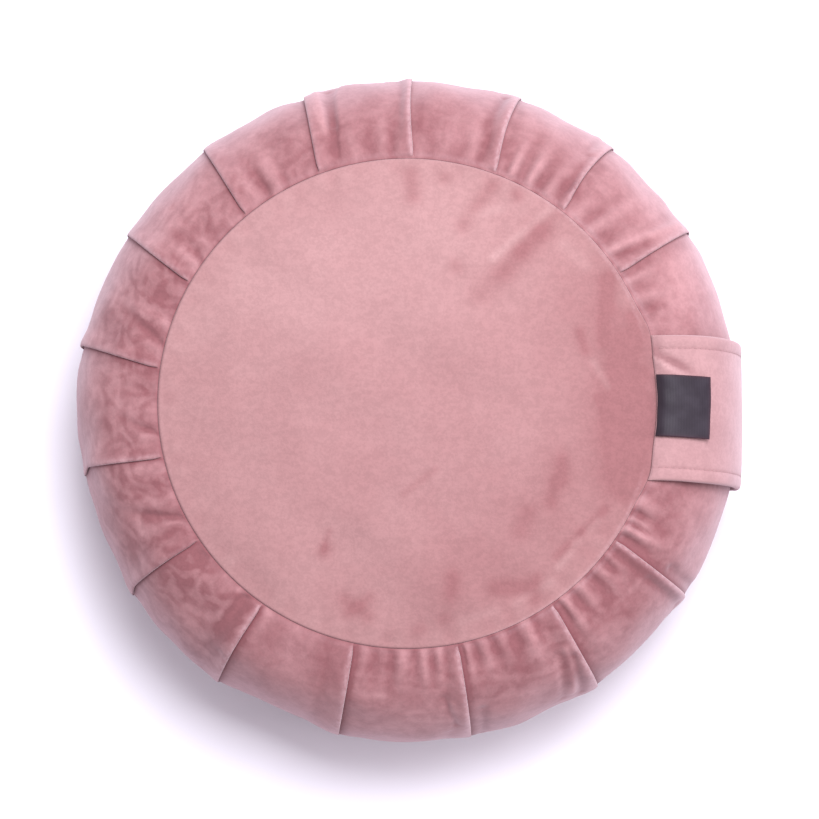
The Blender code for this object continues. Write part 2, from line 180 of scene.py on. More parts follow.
def strokes(across, along, table, degree=None):
    """Soft marks: for each row its amount times a bell curve of the distance from its line, all added up.

    A row is (across, along) of one end, the same of the other end, width and amount. Where degree is given,
    across is in degrees, and one of them is that many millimetres.
    """
    total = np.zeros(np.broadcast(across, along).shape)
    for start_across, start_along, end_across, end_along, wide, amount in table:
        unit = degree or 1.0
        here = (across - start_across + 180) % 360 - 180 if degree else across - start_across
        run = np.array([(end_across - start_across) * unit, end_along - start_along])
        off = along - start_along
        on = np.clip((here * unit * run[0] + off * run[1]) / max(run @ run, 1e-9), 0, 1)
        apart = np.hypot(here * unit - on * run[0], off - on * run[1])
        total = total + amount * bell(apart, wide)
    return total


def on_rings(bearing, radius, z):
    """Points at bearings in degrees, radii and heights: (radius sin, radius cos, z)."""
    angle = np.radians(bearing)
    return np.stack(np.broadcast_arrays(radius * np.sin(angle), radius * np.cos(angle), z), axis=-1)


def lumps(points, size, seed, waves=18):
    """Smooth noise, mostly from -1 to 1: sine waves about one size long in set directions, added up."""
    chance = np.random.default_rng(seed)
    ways = chance.normal(size=(waves, 3))
    ways /= np.linalg.norm(ways, axis=1)[:, None]
    ways *= 2 * np.pi / (size * chance.uniform(0.7, 1.6, (waves, 1)))
    phase = chance.uniform(0, 2 * np.pi, waves)
    return np.sin(points @ ways.T + phase).sum(axis=-1) / np.sqrt(waves)


def into_scene(name, data):
    """A new object of the scene."""
    made = bpy.data.objects.new(name, data)
    bpy.context.scene.collection.objects.link(made)
    return made


def new_piece(name, points, faces, caps=(), fields=None, lay=None):
    """A mesh object from points, arrays of faces and lists of cap faces, its faces turned outwards.

    fields are numbers on its points, and lay is where each point was on the flat cloth, for the shaders.
    """
    points = np.asarray(points, float).reshape(-1, 3)
    polygons = [face for group in faces for face in group.tolist()] + [list(cap) for cap in caps]
    mesh = bpy.data.meshes.new(name)
    mesh.from_pydata(points.tolist(), [], polygons)
    for field, values in (fields or {}).items():
        attribute = mesh.attributes.new(field, "FLOAT", "POINT")
        attribute.data.foreach_set("value", np.asarray(values, np.float32).ravel())
    if lay is not None:
        attribute = mesh.attributes.new("lay", "FLOAT_VECTOR", "POINT")
        attribute.data.foreach_set("vector", np.asarray(lay, np.float32).ravel())
    work = bmesh.new()
    work.from_mesh(mesh)
    bmesh.ops.recalc_face_normals(work, faces=work.faces)
    work.to_mesh(mesh)
    work.free()
    mesh.shade_smooth()
    mesh.calc_loop_triangles()
    print(f"{name}: {len(points)} points, {len(mesh.loop_triangles)} triangles")
    return into_scene(name, mesh)


# %% [markdown]
# ## The side's arc
#
# Seen from the side, the band leaves the top seam almost level, swells to its widest at a bit less than
# half height and draws in again to the bottom seam. Each half is a quarter of a superellipse.

# %% The arc
def seam_radius(bearing):
    """A circle, a little wider at bearings 90 and 270, pulled out at the handle's corners (bell curves)."""
    turned = (np.asarray(bearing, float) + 180) % 360 - 180
    pulled = sum(out * bell(turned - at, SEAM_PULL_WIDTH) for at, out in SEAM_PULLED) / 1000
    return SEAM_RADIUS - SEAM_OVAL * np.cos(2 * np.radians(bearing)) + pulled


def arc_point(degrees):
    """How far out (0 at the seam, 1 at the widest level) and how high: cosine and sine to 2 / fullness."""
    degrees = np.asarray(degrees, float)
    angle = np.radians(degrees)
    power = 2 / np.where(degrees >= 0, TOP_FULLNESS, BOTTOM_FULLNESS)
    drop = np.where(degrees >= 0, TOP_SEAM_Z, BOTTOM_SEAM_Z) - WIDEST_Z
    return np.clip(np.cos(angle), 0, 1) ** power, WIDEST_Z + drop * np.abs(np.sin(angle)) ** power


def arc_normal(degrees, step=0.5):
    """The unit vector (out, up) off the arc, from two nearby points."""
    high_out, high_z = arc_point(np.minimum(np.asarray(degrees) + step, 90))
    low_out, low_z = arc_point(np.maximum(np.asarray(degrees) - step, -90))
    run = (high_out - low_out) * (SIDE_RADIUS - SEAM_RADIUS)
    rise = high_z - low_z
    length = np.hypot(run, rise)
    return rise / length, -run / length


def even_levels(first, last, count):
    """Angles of the arc between two angles, at even distances along it."""
    fine = np.linspace(first, last, 2000)
    share, z = arc_point(fine)
    steps = np.hypot(np.diff(share * (SIDE_RADIUS - SEAM_RADIUS)), np.diff(z))
    length = np.append(0, np.cumsum(steps))
    return np.interp(np.linspace(0, length[-1], count), length, fine)


LAST_DEGREE = 88  # the side stops this near to the seams, where the grooves begin
TOP_LEVELS = 62
LOW_LEVELS = 28
upper_levels = even_levels(LAST_DEGREE, 0, TOP_LEVELS)
lower_levels = even_levels(0, -LAST_DEGREE, LOW_LEVELS + 1)
LEVELS = np.concatenate([upper_levels, lower_levels[1:]])
LEVEL_SHARE, LEVEL_Z = arc_point(LEVELS)
LEVEL_OUT, LEVEL_UP = arc_normal(LEVELS)
arc_steps = np.hypot(np.diff(LEVEL_SHARE * (SIDE_RADIUS - SEAM_RADIUS)), np.diff(LEVEL_Z))
FROM_TOP_SEAM = LEVEL_SHARE[0] * (SIDE_RADIUS - SEAM_RADIUS) + np.append(0, np.cumsum(arc_steps))
FROM_LOW_SEAM = FROM_TOP_SEAM[-1] + LEVEL_SHARE[-1] * (SIDE_RADIUS - SEAM_RADIUS) - FROM_TOP_SEAM
print(f"the side runs {1000 * FROM_TOP_SEAM[-1]:.0f} mm from seam to seam")

# %% [markdown]
# ## How the filling swells the side
#
# Hulls push the cloth out, the two seams hold it, and each pleat is three layers thick and stiffer than the
# cloth beside it. A plain closed form is therefore blown up as cloth: pressure inside, gravity off, the
# seams pinned and the lines of the pleats held softly. Only how the swell varies round the side is
# kept, because the frame already has the measured width.

# %% Blow up the filled body as cloth
SIM_COLUMNS = 240
SIM_LEVELS = 34
SIM_FRAMES = 20
SIM_INSET = 0.003  # the form starts this much inside the side
SIM_ABOVE = (0.02, 0.06, 0.10, 0.13)  # radii of its rings in the top, from the middle on
SIM_BELOW = (0.12, 0.07, 0.02)  # and in the bottom, which is flat at the height SIM_FLOOR
SIM_FLOOR = 0.001
PLEAT_STIFF = 0.35  # how strongly a pleat's line is held, where a seam has 1
PLEAT_STIFF_WIDTH = 2.0  # degrees
SWELL_CAP = 0.005
SWELL_GAIN = 0.25  # the share of the swell that is kept


def pleat_hold(bearing):
    """1 at a pleat's line, falling off on both sides of it."""
    lines = column(PLEATS, "wide")
    apart = np.abs((bearing[:, None] - lines + 180) % 360 - 180).min(axis=1)
    return bell(apart, PLEAT_STIFF_WIDTH)


def swell_form():
    """The body for the simulation: rings of the side between a shallow cap above and one below."""
    levels = even_levels(LAST_DEGREE, -LAST_DEGREE, SIM_LEVELS)
    share, z = arc_point(levels)
    bearing = np.arange(SIM_COLUMNS) * 360 / SIM_COLUMNS
    radius = SEAM_RADIUS + (SIDE_RADIUS - SIM_INSET - SEAM_RADIUS) * share
    rings = [(r, TOP_SEAM_Z + CROWN * (1 - (r / SEAM_RADIUS) ** CROWN_POWER)) for r in SIM_ABOVE]
    rings += [*zip(radius, z), *((r, SIM_FLOOR) for r in SIM_BELOW)]
    rings = np.array(rings)
    return on_rings(bearing, rings[:, :1], rings[:, 1:]), levels, bearing


def swell_field():
    """How far the cloth swells off the form, as rows of levels by columns of bearings."""
    points, levels, bearing = swell_form()
    rows = len(points)
    last = (rows - 1) * SIM_COLUMNS
    caps = [list(range(SIM_COLUMNS))[::-1], list(range(last, last + SIM_COLUMNS))]
    body = new_piece("swell_form", points, [grid_faces(rows, SIM_COLUMNS)], caps)
    side = slice(len(SIM_ABOVE), -len(SIM_BELOW))
    hold = np.ones((rows, SIM_COLUMNS))
    hold[side][1:-1] = PLEAT_STIFF * pleat_hold(bearing)
    group = body.vertex_groups.new(name="held")
    for index, weight in enumerate(hold.ravel().tolist()):
        if weight > 0.01:
            group.add([index], weight, "REPLACE")
    cloth = body.modifiers.new("filled", "CLOTH")
    cloth.settings.vertex_group_mass = "held"
    cloth.settings.pin_stiffness = 1.0
    cloth.settings.use_pressure = True
    cloth.settings.uniform_pressure_force = 4
    cloth.settings.effector_weights.gravity = 0
    cloth.settings.quality = 6
    cloth.settings.mass = 0.3
    cloth.settings.tension_stiffness = 15
    cloth.settings.compression_stiffness = 15
    cloth.settings.bending_stiffness = 0.3
    cloth.settings.shrink_min = -0.03
    cloth.collision_settings.use_collision = False
    cloth.point_cache.frame_end = SIM_FRAMES
    for frame_number in range(1, SIM_FRAMES + 1):
        bpy.context.scene.frame_set(frame_number)
    blown = body.evaluated_get(bpy.context.evaluated_depsgraph_get())
    after = np.zeros(3 * rows * SIM_COLUMNS, np.float32)
    blown.data.vertices.foreach_get("co", after)
    after = after.reshape(rows, SIM_COLUMNS, 3)[side]
    before = points[side]
    bpy.data.objects.remove(body)
    bpy.context.scene.frame_set(1)
    out, up = arc_normal(levels)
    normal = on_rings(bearing, out[:, None], up[:, None])
    swell = ((after - before) * normal).sum(axis=-1)
    print(f"swell: {1000 * swell.min():.1f} to {1000 * swell.max():.1f} mm, mean {1000 * swell.mean():.1f}")
    swell = swell - swell.mean(axis=1, keepdims=True)
    for _ in range(4):
        swell = 0.5 * swell + 0.25 * (np.roll(swell, 1, axis=1) + np.roll(swell, -1, axis=1))
        beside = np.concatenate([swell[:1], swell, swell[-1:]])
        swell = 0.5 * swell + 0.25 * (beside[:-2] + beside[2:])
    return levels, bearing, np.clip(SWELL_GAIN * swell, -SWELL_CAP, SWELL_CAP)


sim_levels, sim_bearing, swell = swell_field()


def swell_at(level, bearing):
    """The swell between the simulated points: weighted by nearness along the level and round the side."""
    row = np.interp(level, sim_levels[::-1], np.arange(len(sim_levels))[::-1].astype(float))
    place = (bearing % 360) / 360 * len(sim_bearing)
    row_a = np.clip(np.floor(row).astype(int), 0, len(sim_levels) - 2)
    place_a = np.floor(place).astype(int)
    down, on = smooth_step(row - row_a), smooth_step(place - place_a)
    place_a, place_b = place_a % len(sim_bearing), (place_a + 1) % len(sim_bearing)
    upper = swell[row_a, place_a] * (1 - on) + swell[row_a, place_b] * on
    lower = swell[row_a + 1, place_a] * (1 - on) + swell[row_a + 1, place_b] * on
    return upper * (1 - down) + lower * down


# %% [markdown]
# ## Pleats, gathers and creases
#
# A pleat is a fold of the band laid flat and caught in both seams, so that the cloth lies over itself. The
# grid's columns follow each fold: up over the folded edge, back under it and on again. Where the band
# was a little too long between two pleats, the needle gathered it into small ridges that run out from the
# seam. They are a table, as a sewer would list what has to be eased in.

# %% Columns that follow the pleats
FOLD_COLUMNS = 30
BETWEEN_COLUMNS = 26
SLACK_COLUMNS = 80
FOLD_ALONG, FOLD_OUT, FOLD_SEWN = through(FOLD, FOLD_COLUMNS).T
FOLD_HIGHEST = max(out for along, out, sewn in FOLD)
BEYOND_EDGE = np.arange(FOLD_COLUMNS) / (FOLD_COLUMNS - 1) > 0.5  # the half of a fold that is under its edge

# Where something sets in, and over how much more it is complete: metres from the top seam, or a share.
HOOKED = (0.90, 0.08)  # the share of the way out where the pleats' lines hook back
TO_THE_TIP = (0.045, 0.038)  # the fold goes over from its height on the shoulder to its tip
ROLL_WIDENS = (0.050, 0.035)
HOLLOW_FADES = (0.055, 0.030)
SLANTED = (0.030, 0.050)  # the side is seen more and more at a slant
SLIT_CLOSES = (0.045, 0.030)  # where light falls into the slit

# Across a fold, in millimetres: how far behind its edge or beyond it a mask has its middle, and how wide
# the mask is. The masks are the painted highlight along the edge, and the painted shade beside the fold and
# in the slit.
HIGHLIGHT_BEHIND, HIGHLIGHT_WIDTH, HIGHLIGHT_WIDENS = 0.6, 1.5, 1.2
HIGHLIGHT_OUT = 1.3  # what stands out further than this carries the painted highlight
SHADE_BEYOND, SHADE_WIDTH = 0.8, 3.2
SHADE_DEPTH = 0.45
SLIT_BEYOND, SLIT_WIDTH, SLIT_GAPES = 0.4, 0.75, 0.9
SLIT_OUT = 1.1  # what is further in than this can be in the slit
HOLLOW_BEHIND, HOLLOW_WIDTH = 1.45, 0.55  # both times the width of the roll
USUAL_ROLL = 6


def pleat_lines(share):
    """The pleats' bearings at each share of the way out, as shares by pleats."""
    seam, wide = column(PLEATS, "seam"), column(PLEATS, "wide")
    bow = np.degrees(column(PLEATS, "bow") / 1000 / SEAM_RADIUS)
    share = np.asarray(share, float)[:, None]
    hook = column(PLEATS, "hook") * ramp(share, *HOOKED)
    return seam + (wide - seam) * share + bow * np.sin(np.pi * share) - hook


def chord_drop(bearing, share):
    """How much smaller the radius is between two pleats, where the side tends to a straight chord."""
    lines = pleat_lines(share)
    lines = np.concatenate([lines, lines[:, :1] + 360], axis=1)
    drop = np.zeros_like(bearing)
    for before, after in zip(lines.T, lines.T[1:]):
        half = (after - before)[:, None] / 2
        inside = (bearing >= before[:, None]) & (bearing < after[:, None]) & (2 * half < WIDE_STEP)
        middle = np.radians(bearing - (after + before)[:, None] / 2)
        bend = CHORD_SHARE * np.asarray(share)[:, None] * (1 - np.cos(np.radians(half)) / np.cos(middle))
        drop = np.where(inside, bend, drop)
    return drop


def fold_height(pleat, share, far):
    """A fold's height at each level: pressed at the seam, full on the shoulder, its tip at the outline."""
    shoulder = pleat["high"] * (FOLD_AT_SEAM + (1 - FOLD_AT_SEAM) * share)
    tip = pleat["tip"] / FOLD_HIGHEST
    return shoulder + (tip - shoulder) * ramp(far, *TO_THE_TIP)


def fold_form(pleat, share, far):
    """A pleat's columns at all levels in millimetres: along, off the side, and the hollow behind the roll."""
    roll = pleat["roll"]
    rolled = 1 + (roll / USUAL_ROLL - 1) * smooth_step(share) + 0.5 * ramp(far, *ROLL_WIDENS)
    wide = np.where(FOLD_ALONG < -1, -1 + (FOLD_ALONG + 1) * rolled, FOLD_ALONG)
    hollow = bell(wide + HOLLOW_BEHIND * roll * rolled, HOLLOW_WIDTH * roll)
    hollow = pleat["back"] * hollow * smooth_step(share * 3) * (1 - 0.75 * ramp(far, *HOLLOW_FADES))
    along = FOLD_SEWN + (wide - FOLD_SEWN) * smooth_step(share / PRESSED)
    return along, FOLD_OUT * fold_height(pleat, share, far) - hollow, hollow


def fold_masks(pleat, far, hollow):
    """Three masks of a pleat: the painted highlight along its edge, the painted shade in the slit under it,
    and the painted shade beside the fold.

    The highlight and the slit's shade are bell curves of the distance from the edge, and get wider further
    out.
    """
    dim, outer = pleat["dim"], ramp(far, *SLANTED)
    ridge = bell(FOLD_ALONG + HIGHLIGHT_BEHIND + HIGHLIGHT_BEHIND * outer, HIGHLIGHT_WIDTH + HIGHLIGHT_WIDENS * outer)
    edge_highlight = pleat["pale"] * (ridge * (FOLD_OUT > HIGHLIGHT_OUT))
    beyond = np.where(BEYOND_EDGE, bell(FOLD_ALONG - SHADE_BEYOND, SHADE_WIDTH), 0.0) * dim
    gape = (SLIT_WIDTH + SLIT_GAPES * min(dim, 1.0)) * (0.7 + 0.7 * outer)
    slit = bell(FOLD_ALONG - SLIT_BEYOND, gape) * (FOLD_OUT < SLIT_OUT) * min(1.0, 0.35 + 0.75 * dim)
    slit = slit * (1 - np.clip(2 - dim / 0.3, 0, 1) * ramp(far, *SLIT_CLOSES))
    shaded = SHADE_DEPTH * np.minimum(beyond, 1) * outer
    return edge_highlight, np.maximum(slit, shaded), SHADE_DEPTH * hollow + beyond


def side_columns(share, far):
    """Bearings and folds of all columns at all levels: a fold at each pleat, then the cloth up to the next.

    share is how far out each level is and far how far it is from the top seam. Gives the bearings, the
    offsets off the side in metres, and three masks: painted highlights on the fold edges, painted shade in
    the slits, and painted shade in the hollows.
    """
    share, far = np.asarray(share, float)[:, None], np.asarray(far, float)[:, None]
    radius = SEAM_RADIUS + (SIDE_RADIUS - SEAM_RADIUS) * share
    folds = []
    for line, pleat in zip(pleat_lines(share[:, 0]).T, PLEATS):
        along, raised, hollow = fold_form(pleat, share, far)
        bearing = line[:, None] + pleat["turn"] * np.degrees(along / 1000 / radius)
        parts = [bearing, raised / 1000, *fold_masks(pleat, far, hollow)]
        folds.append([(part + 0 * bearing)[:, :: pleat["turn"]] for part in parts])
    parts = [[] for _ in folds[0]]
    starts = [fold[0][:, 0] for fold in folds[1:]] + [folds[0][0][:, 0] + 360]
    for fold, following in zip(folds, starts):
        last = fold[0][:, -1]
        count = SLACK_COLUMNS if (following - last).min() > WIDE_STEP else BETWEEN_COLUMNS
        slack = last + (following - last) * np.linspace(0, 1, count + 2)[1:-1, None]
        for part, values in zip(parts, fold):
            part.append(values)
        parts[0].append(slack.T)
        for part in parts[1:]:
            part.append(np.zeros_like(slack.T))
    return [np.concatenate(part, axis=1) for part in parts]


side_bearing, fold_raised, fold_edge, fold_slit, fold_shade = side_columns(LEVEL_SHARE, FROM_TOP_SEAM)
seam_bearing = side_columns([0.0], [0.0])[0]
print("columns round the side:", side_bearing.shape[1])

# %% [markdown]
# The gathers are listed with the bearing at the seam in degrees, the height of the ridge (a hollow is
# negative), its width and how far it reaches from the seam in millimetres, and how many degrees it drifts on
# the way. Creases are straight lines on the cloth between two points, each a bearing and a distance in
# millimetres from the top seam, with the crease's width and height.

# %% Gathers and creases
GATHERS = [  # bearing, height, width, reach, drift
    (5.0, -0.6, 3.0, 30, 0.5), (8.5, 0.4, 2.6, 20, 0.3), (9.6, -0.2, 2.0, 8, 0.0),
    (12.0, -0.4, 3.0, 26, 0.0), (14.2, 0.5, 2.6, 34, 0.0), (16.4, -0.6, 2.4, 26, 1.2),
    (23.0, -0.8, 1.8, 20, 0.4), (24.4, 1.4, 2.2, 24, 0.2), (26.9, -1.6, 2.6, 26, -0.2),
    (29.0, 1.4, 2.2, 30, 0.2), (31.3, -1.4, 2.4, 22, 0.2), (33.6, 1.4, 2.0, 22, 0.8),
    (36.6, -1.2, 2.2, 28, 0.0), (42.0, 0.9, 1.8, 14, 0.2), (44.4, -1.2, 2.4, 22, 0.6),
    (46.8, 1.4, 2.2, 36, 1.6), (50.2, -1.2, 3.0, 20, 0.4), (53.0, 1.2, 2.0, 20, 1.2),
    (55.0, -1.0, 2.0, 26, 1.4), (60.0, -0.7, 2.0, 12, 0.0), (61.3, 0.9, 2.2, 18, 0.0),
    (63.4, -0.8, 2.6, 18, 0.0), (66.0, 1.0, 2.4, 16, 0.3), (68.5, -1.5, 2.6, 16, 0.2),
    (71.0, -0.9, 2.6, 14, 0.4), (110.6, -0.9, 2.2, 9, 0.5), (113.2, 1.6, 2.8, 14, 0.8),
    (115.9, -1.9, 2.0, 17, 0.2), (117.3, 1.4, 1.8, 14, 0.0), (118.6, -1.5, 1.6, 14, 0.0),
    (120.0, 1.8, 2.0, 24, -0.2), (121.9, -1.5, 2.2, 24, 0.2), (126.0, -0.9, 2.4, 34, -0.6),
    (127.4, 0.8, 1.8, 10, 0.0), (129.0, -1.4, 2.2, 13, 0.3), (131.0, 0.9, 2.0, 16, 0.2),
    (133.5, -1.5, 2.4, 20, 0.4), (136.5, 1.2, 2.2, 16, 0.6), (139.0, -1.5, 2.2, 20, 0.2),
    (141.4, 1.3, 2.2, 22, 0.4), (143.0, -1.0, 1.8, 34, 0.2), (149.8, -1.0, 2.4, 14, 0.4),
    (151.8, 1.3, 2.6, 24, 0.8), (155.2, -1.3, 3.0, 24, 0.6), (158.0, 0.7, 2.6, 14, 0.0),
    (160.4, -1.2, 2.4, 20, 0.0), (162.4, 1.2, 2.2, 18, 0.0), (164.4, -1.0, 2.0, 16, 0.0),
    (166.4, 1.0, 1.8, 20, 0.0), (167.4, -0.6, 1.4, 14, 0.0), (171.2, -0.7, 2.0, 20, 0.0),
    (172.6, 1.1, 2.0, 22, 0.8), (174.4, -1.1, 2.4, 28, -0.4), (176.2, 1.0, 2.0, 22, 0.0),
    (178.2, -1.1, 2.0, 20, 0.2), (181.0, 1.0, 2.2, 16, 0.2), (183.4, -1.3, 2.2, 24, 0.0),
    (187.0, -0.8, 2.6, 20, 0.0), (189.6, 0.7, 2.0, 14, 0.0), (199.0, -0.4, 4.0, 22, 0.0),
    (206.0, 0.4, 4.0, 22, 0.0), (213.4, 1.0, 2.8, 22, 0.0), (219.6, -1.2, 3.2, 34, -0.8),
    (221.6, 1.1, 2.2, 24, -0.6), (226.5, 0.5, 3.4, 18, 0.0), (233.0, -0.9, 3.0, 18, 0.0),
    (242.6, 0.9, 2.2, 20, 0.8), (242.6, -1.7, 2.4, 30, 5.6), (247.8, 0.6, 3.0, 22, 0.6),
    (251.0, -0.5, 2.6, 18, 0.5), (255.4, 1.0, 3.0, 22, 0.4), (262.3, 0.9, 2.4, 14, 0.6),
    (262.8, -1.3, 2.2, 18, 3.2), (267.6, 0.5, 2.8, 18, 0.6), (272.6, -0.9, 3.0, 22, 0.4),
    (282.2, 0.9, 2.2, 12, 0.5), (283.4, -1.4, 2.4, 26, 4.4), (288.0, 0.8, 2.6, 24, 1.2),
    (293.0, -0.8, 3.2, 22, 0.4), (303.2, 1.2, 2.2, 16, 0.5), (304.8, -1.2, 2.4, 26, 2.4),
    (308.4, 0.6, 2.2, 12, 0.4), (311.0, -0.6, 3.0, 26, 0.6), (323.4, 1.1, 2.4, 22, 0.2),
    (326.6, -1.8, 2.2, 30, -0.2), (329.2, 0.9, 2.4, 26, 0.4), (331.4, -0.9, 1.8, 10, 0.0),
    (336.0, -0.5, 3.0, 20, 0.0), (344.3, -0.6, 3.0, 24, 0.0), (348.0, 0.4, 3.0, 24, 0.5),
    (351.5, -0.3, 3.0, 24, 0.3), (354.4, 0.6, 2.2, 26, 0.3), (356.4, -0.8, 2.2, 34, 1.0),
    (358.4, 0.4, 1.8, 26, 0.4),
]
CREASES = [  # bearing and distance of one end, the same of the other, width, height
    (343.3, 24, 343.9, 84, 2.6, 1.1),
    (345.2, 26, 345.8, 62, 2.6, -0.8),
    (34.6, 20, 35.0, 80, 2.4, 0.8),
    (37.0, 12, 36.4, 40, 1.8, -0.7),
    (54.0, 8, 56.2, 56, 2.2, 0.6),
    (15.6, 24, 17.6, 60, 2.6, -0.8),
    (126.3, 30, 125.8, 76, 2.6, -0.7),
    (147.4, 26, 149.8, 62, 1.9, 0.8),
    (146.6, 32, 148.4, 70, 1.7, -0.8),
    (149.2, 28, 151.8, 64, 2.0, -0.7),
    (171.4, 34, 172.6, 58, 1.8, 0.6),
    (172.8, 30, 171.2, 52, 1.6, -0.6),
    (216.8, 40, 218.6, 74, 2.2, -0.6),
    (308.8, 12, 310.0, 36, 3.0, -0.6),
    (166.0, 44, 166.8, 84, 2.4, -0.8),
    (122.0, 40, 122.2, 86, 2.4, -0.9),
]
DEGREE = 2.75  # millimetres in one degree, half way down the shoulder
RIDGE_RISES = 2.0  # a ridge rises over this many millimetres
RIDGE_WIDENS = 0.012  # and widens by this share in each
RIDGE_FADES = 2.4  # the power with which it fades at its reach
LOW_RIDGES = [(57, 0.8, 0.5), (83, 2.1, 0.35), (31, 0.0, 0.3)]  # waves: how many, phase, height
LOW_RIDGES_OUT = 0.9  # the waves' middle is this far off the side
LOW_RIDGES_RISE = 2.5
LOW_RIDGES_REACH = 24


def gathered(bearing, from_seam):
    """Ridges from the seam: a bell curve across each, which rises, drifts, widens and fades at its reach."""
    total = np.zeros_like(bearing)
    far = from_seam * 1000
    rise = 1 - np.exp(-far / RIDGE_RISES)
    for at, high, wide, reach, drift in GATHERS:
        middle = at + drift * far / reach
        across = np.radians((bearing - middle + 180) % 360 - 180) * SEAM_RADIUS * 1000
        fade = np.exp(-((far / reach) ** RIDGE_FADES))
        total += high * bell(across, wide * (1 + RIDGE_WIDENS * far)) * rise * fade
    return total


def waves_round(bearing, table):
    """A sum of sine waves round the cushion. Each row is how many there are, their phase and their height."""
    angle = np.radians(bearing)
    return sum(high * np.sin(count * angle + phase) for count, phase, high in table)


def low_gathered(bearing, from_seam):
    """The same kind of ridges at the bottom seam, from a few waves round it."""
    far = from_seam * 1000
    rise = 1 - np.exp(-far / LOW_RIDGES_RISE)
    return (waves_round(bearing, LOW_RIDGES) + LOW_RIDGES_OUT) * rise * bell(far, LOW_RIDGES_REACH)


print("gathers:", len(GATHERS), "creases:", len(CREASES))

# %% [markdown]
# ## The top seam, painted light and shade, and the tone of the pile
#
# On one side of the cushion the groove of the top seam is deep, with painted shade in it, and on the other it
# is pulled shallow, with pale fuzz and a painted highlight on its lip. The side has a field of tones: painted
# shade along the seam and painted light further out, painted light on the backs of the gathers and painted
# shade in their hollows, marks that hands have left with lines of painted light and shade along creases and
# pleats, painted light round the side towards the lamps and painted shade away from them, and patches where
# the cloth was crushed.

# %% The seam, painted light and shade, and the tone of the pile
SEAM_LOOKS = [  # bearing, share of the groove's full depth, painted shade in the groove, and pale fuzz with a painted highlight on the lip
    (0, 0.34, 0.20, 0.55),
    (30, 0.26, 0.12, 0.60),
    (45, 0.14, 0.03, 0.80),
    (66, 0.12, 0.00, 0.90),
    (76, 0.12, 0.00, 0.10),
    (104, 0.12, 0.00, 0.00),
    (109, 0.12, 0.00, 0.60),
    (120, 0.14, 0.02, 0.90),
    (158, 0.20, 0.06, 0.70),
    (172, 0.55, 0.32, 0.25),
    (235, 0.65, 0.40, 0.20),
    (300, 0.65, 0.40, 0.20),
    (335, 0.50, 0.30, 0.35),
]
FULLNESS = [  # bearing, millimetres added at the widest level
    (0, 0.9), (12, 1.5), (18, 2.2), (22, 2.6), (26, 1.9), (32, 1.7), (36, 2.2), (40, 2.6), (44, 1.6),
    (53, 1.9), (58, 2.7), (62, 2.4), (68, 1.2), (74, 0.6), (90, 0.4), (108, 0.6), (125, 2.0), (145, 2.4),
    (151, 2.1), (158, 0.8), (175, 1.4), (184, 0.9), (190, 1.3), (195, -1.0), (203, -3.0), (211, -3.0),
    (215, -0.2), (236, 0.3), (240, -1.4), (254, -1.5), (260, -1.6), (265, 0.2), (272, 1.1), (280, 1.6),
    (284, -0.1), (292, -0.5), (298, -0.1), (305, 0.1), (316, 0.3), (322, 0.5), (329, 1.6), (333, 0.9),
    (339, 1.6), (343, 0.8), (350, 0.9), (355, 1.5), (358, 1.0),
]
SIDE_TONES = [  # millimetres from the top seam, tone: painted shade near the seam, and painted light further out where the side is seen at a slant
    (0, -0.16), (6, -0.29), (20, -0.18), (38, 0.11), (52, 0.12), (70, 0.15), (100, 0.10), (170, 0.10),
]
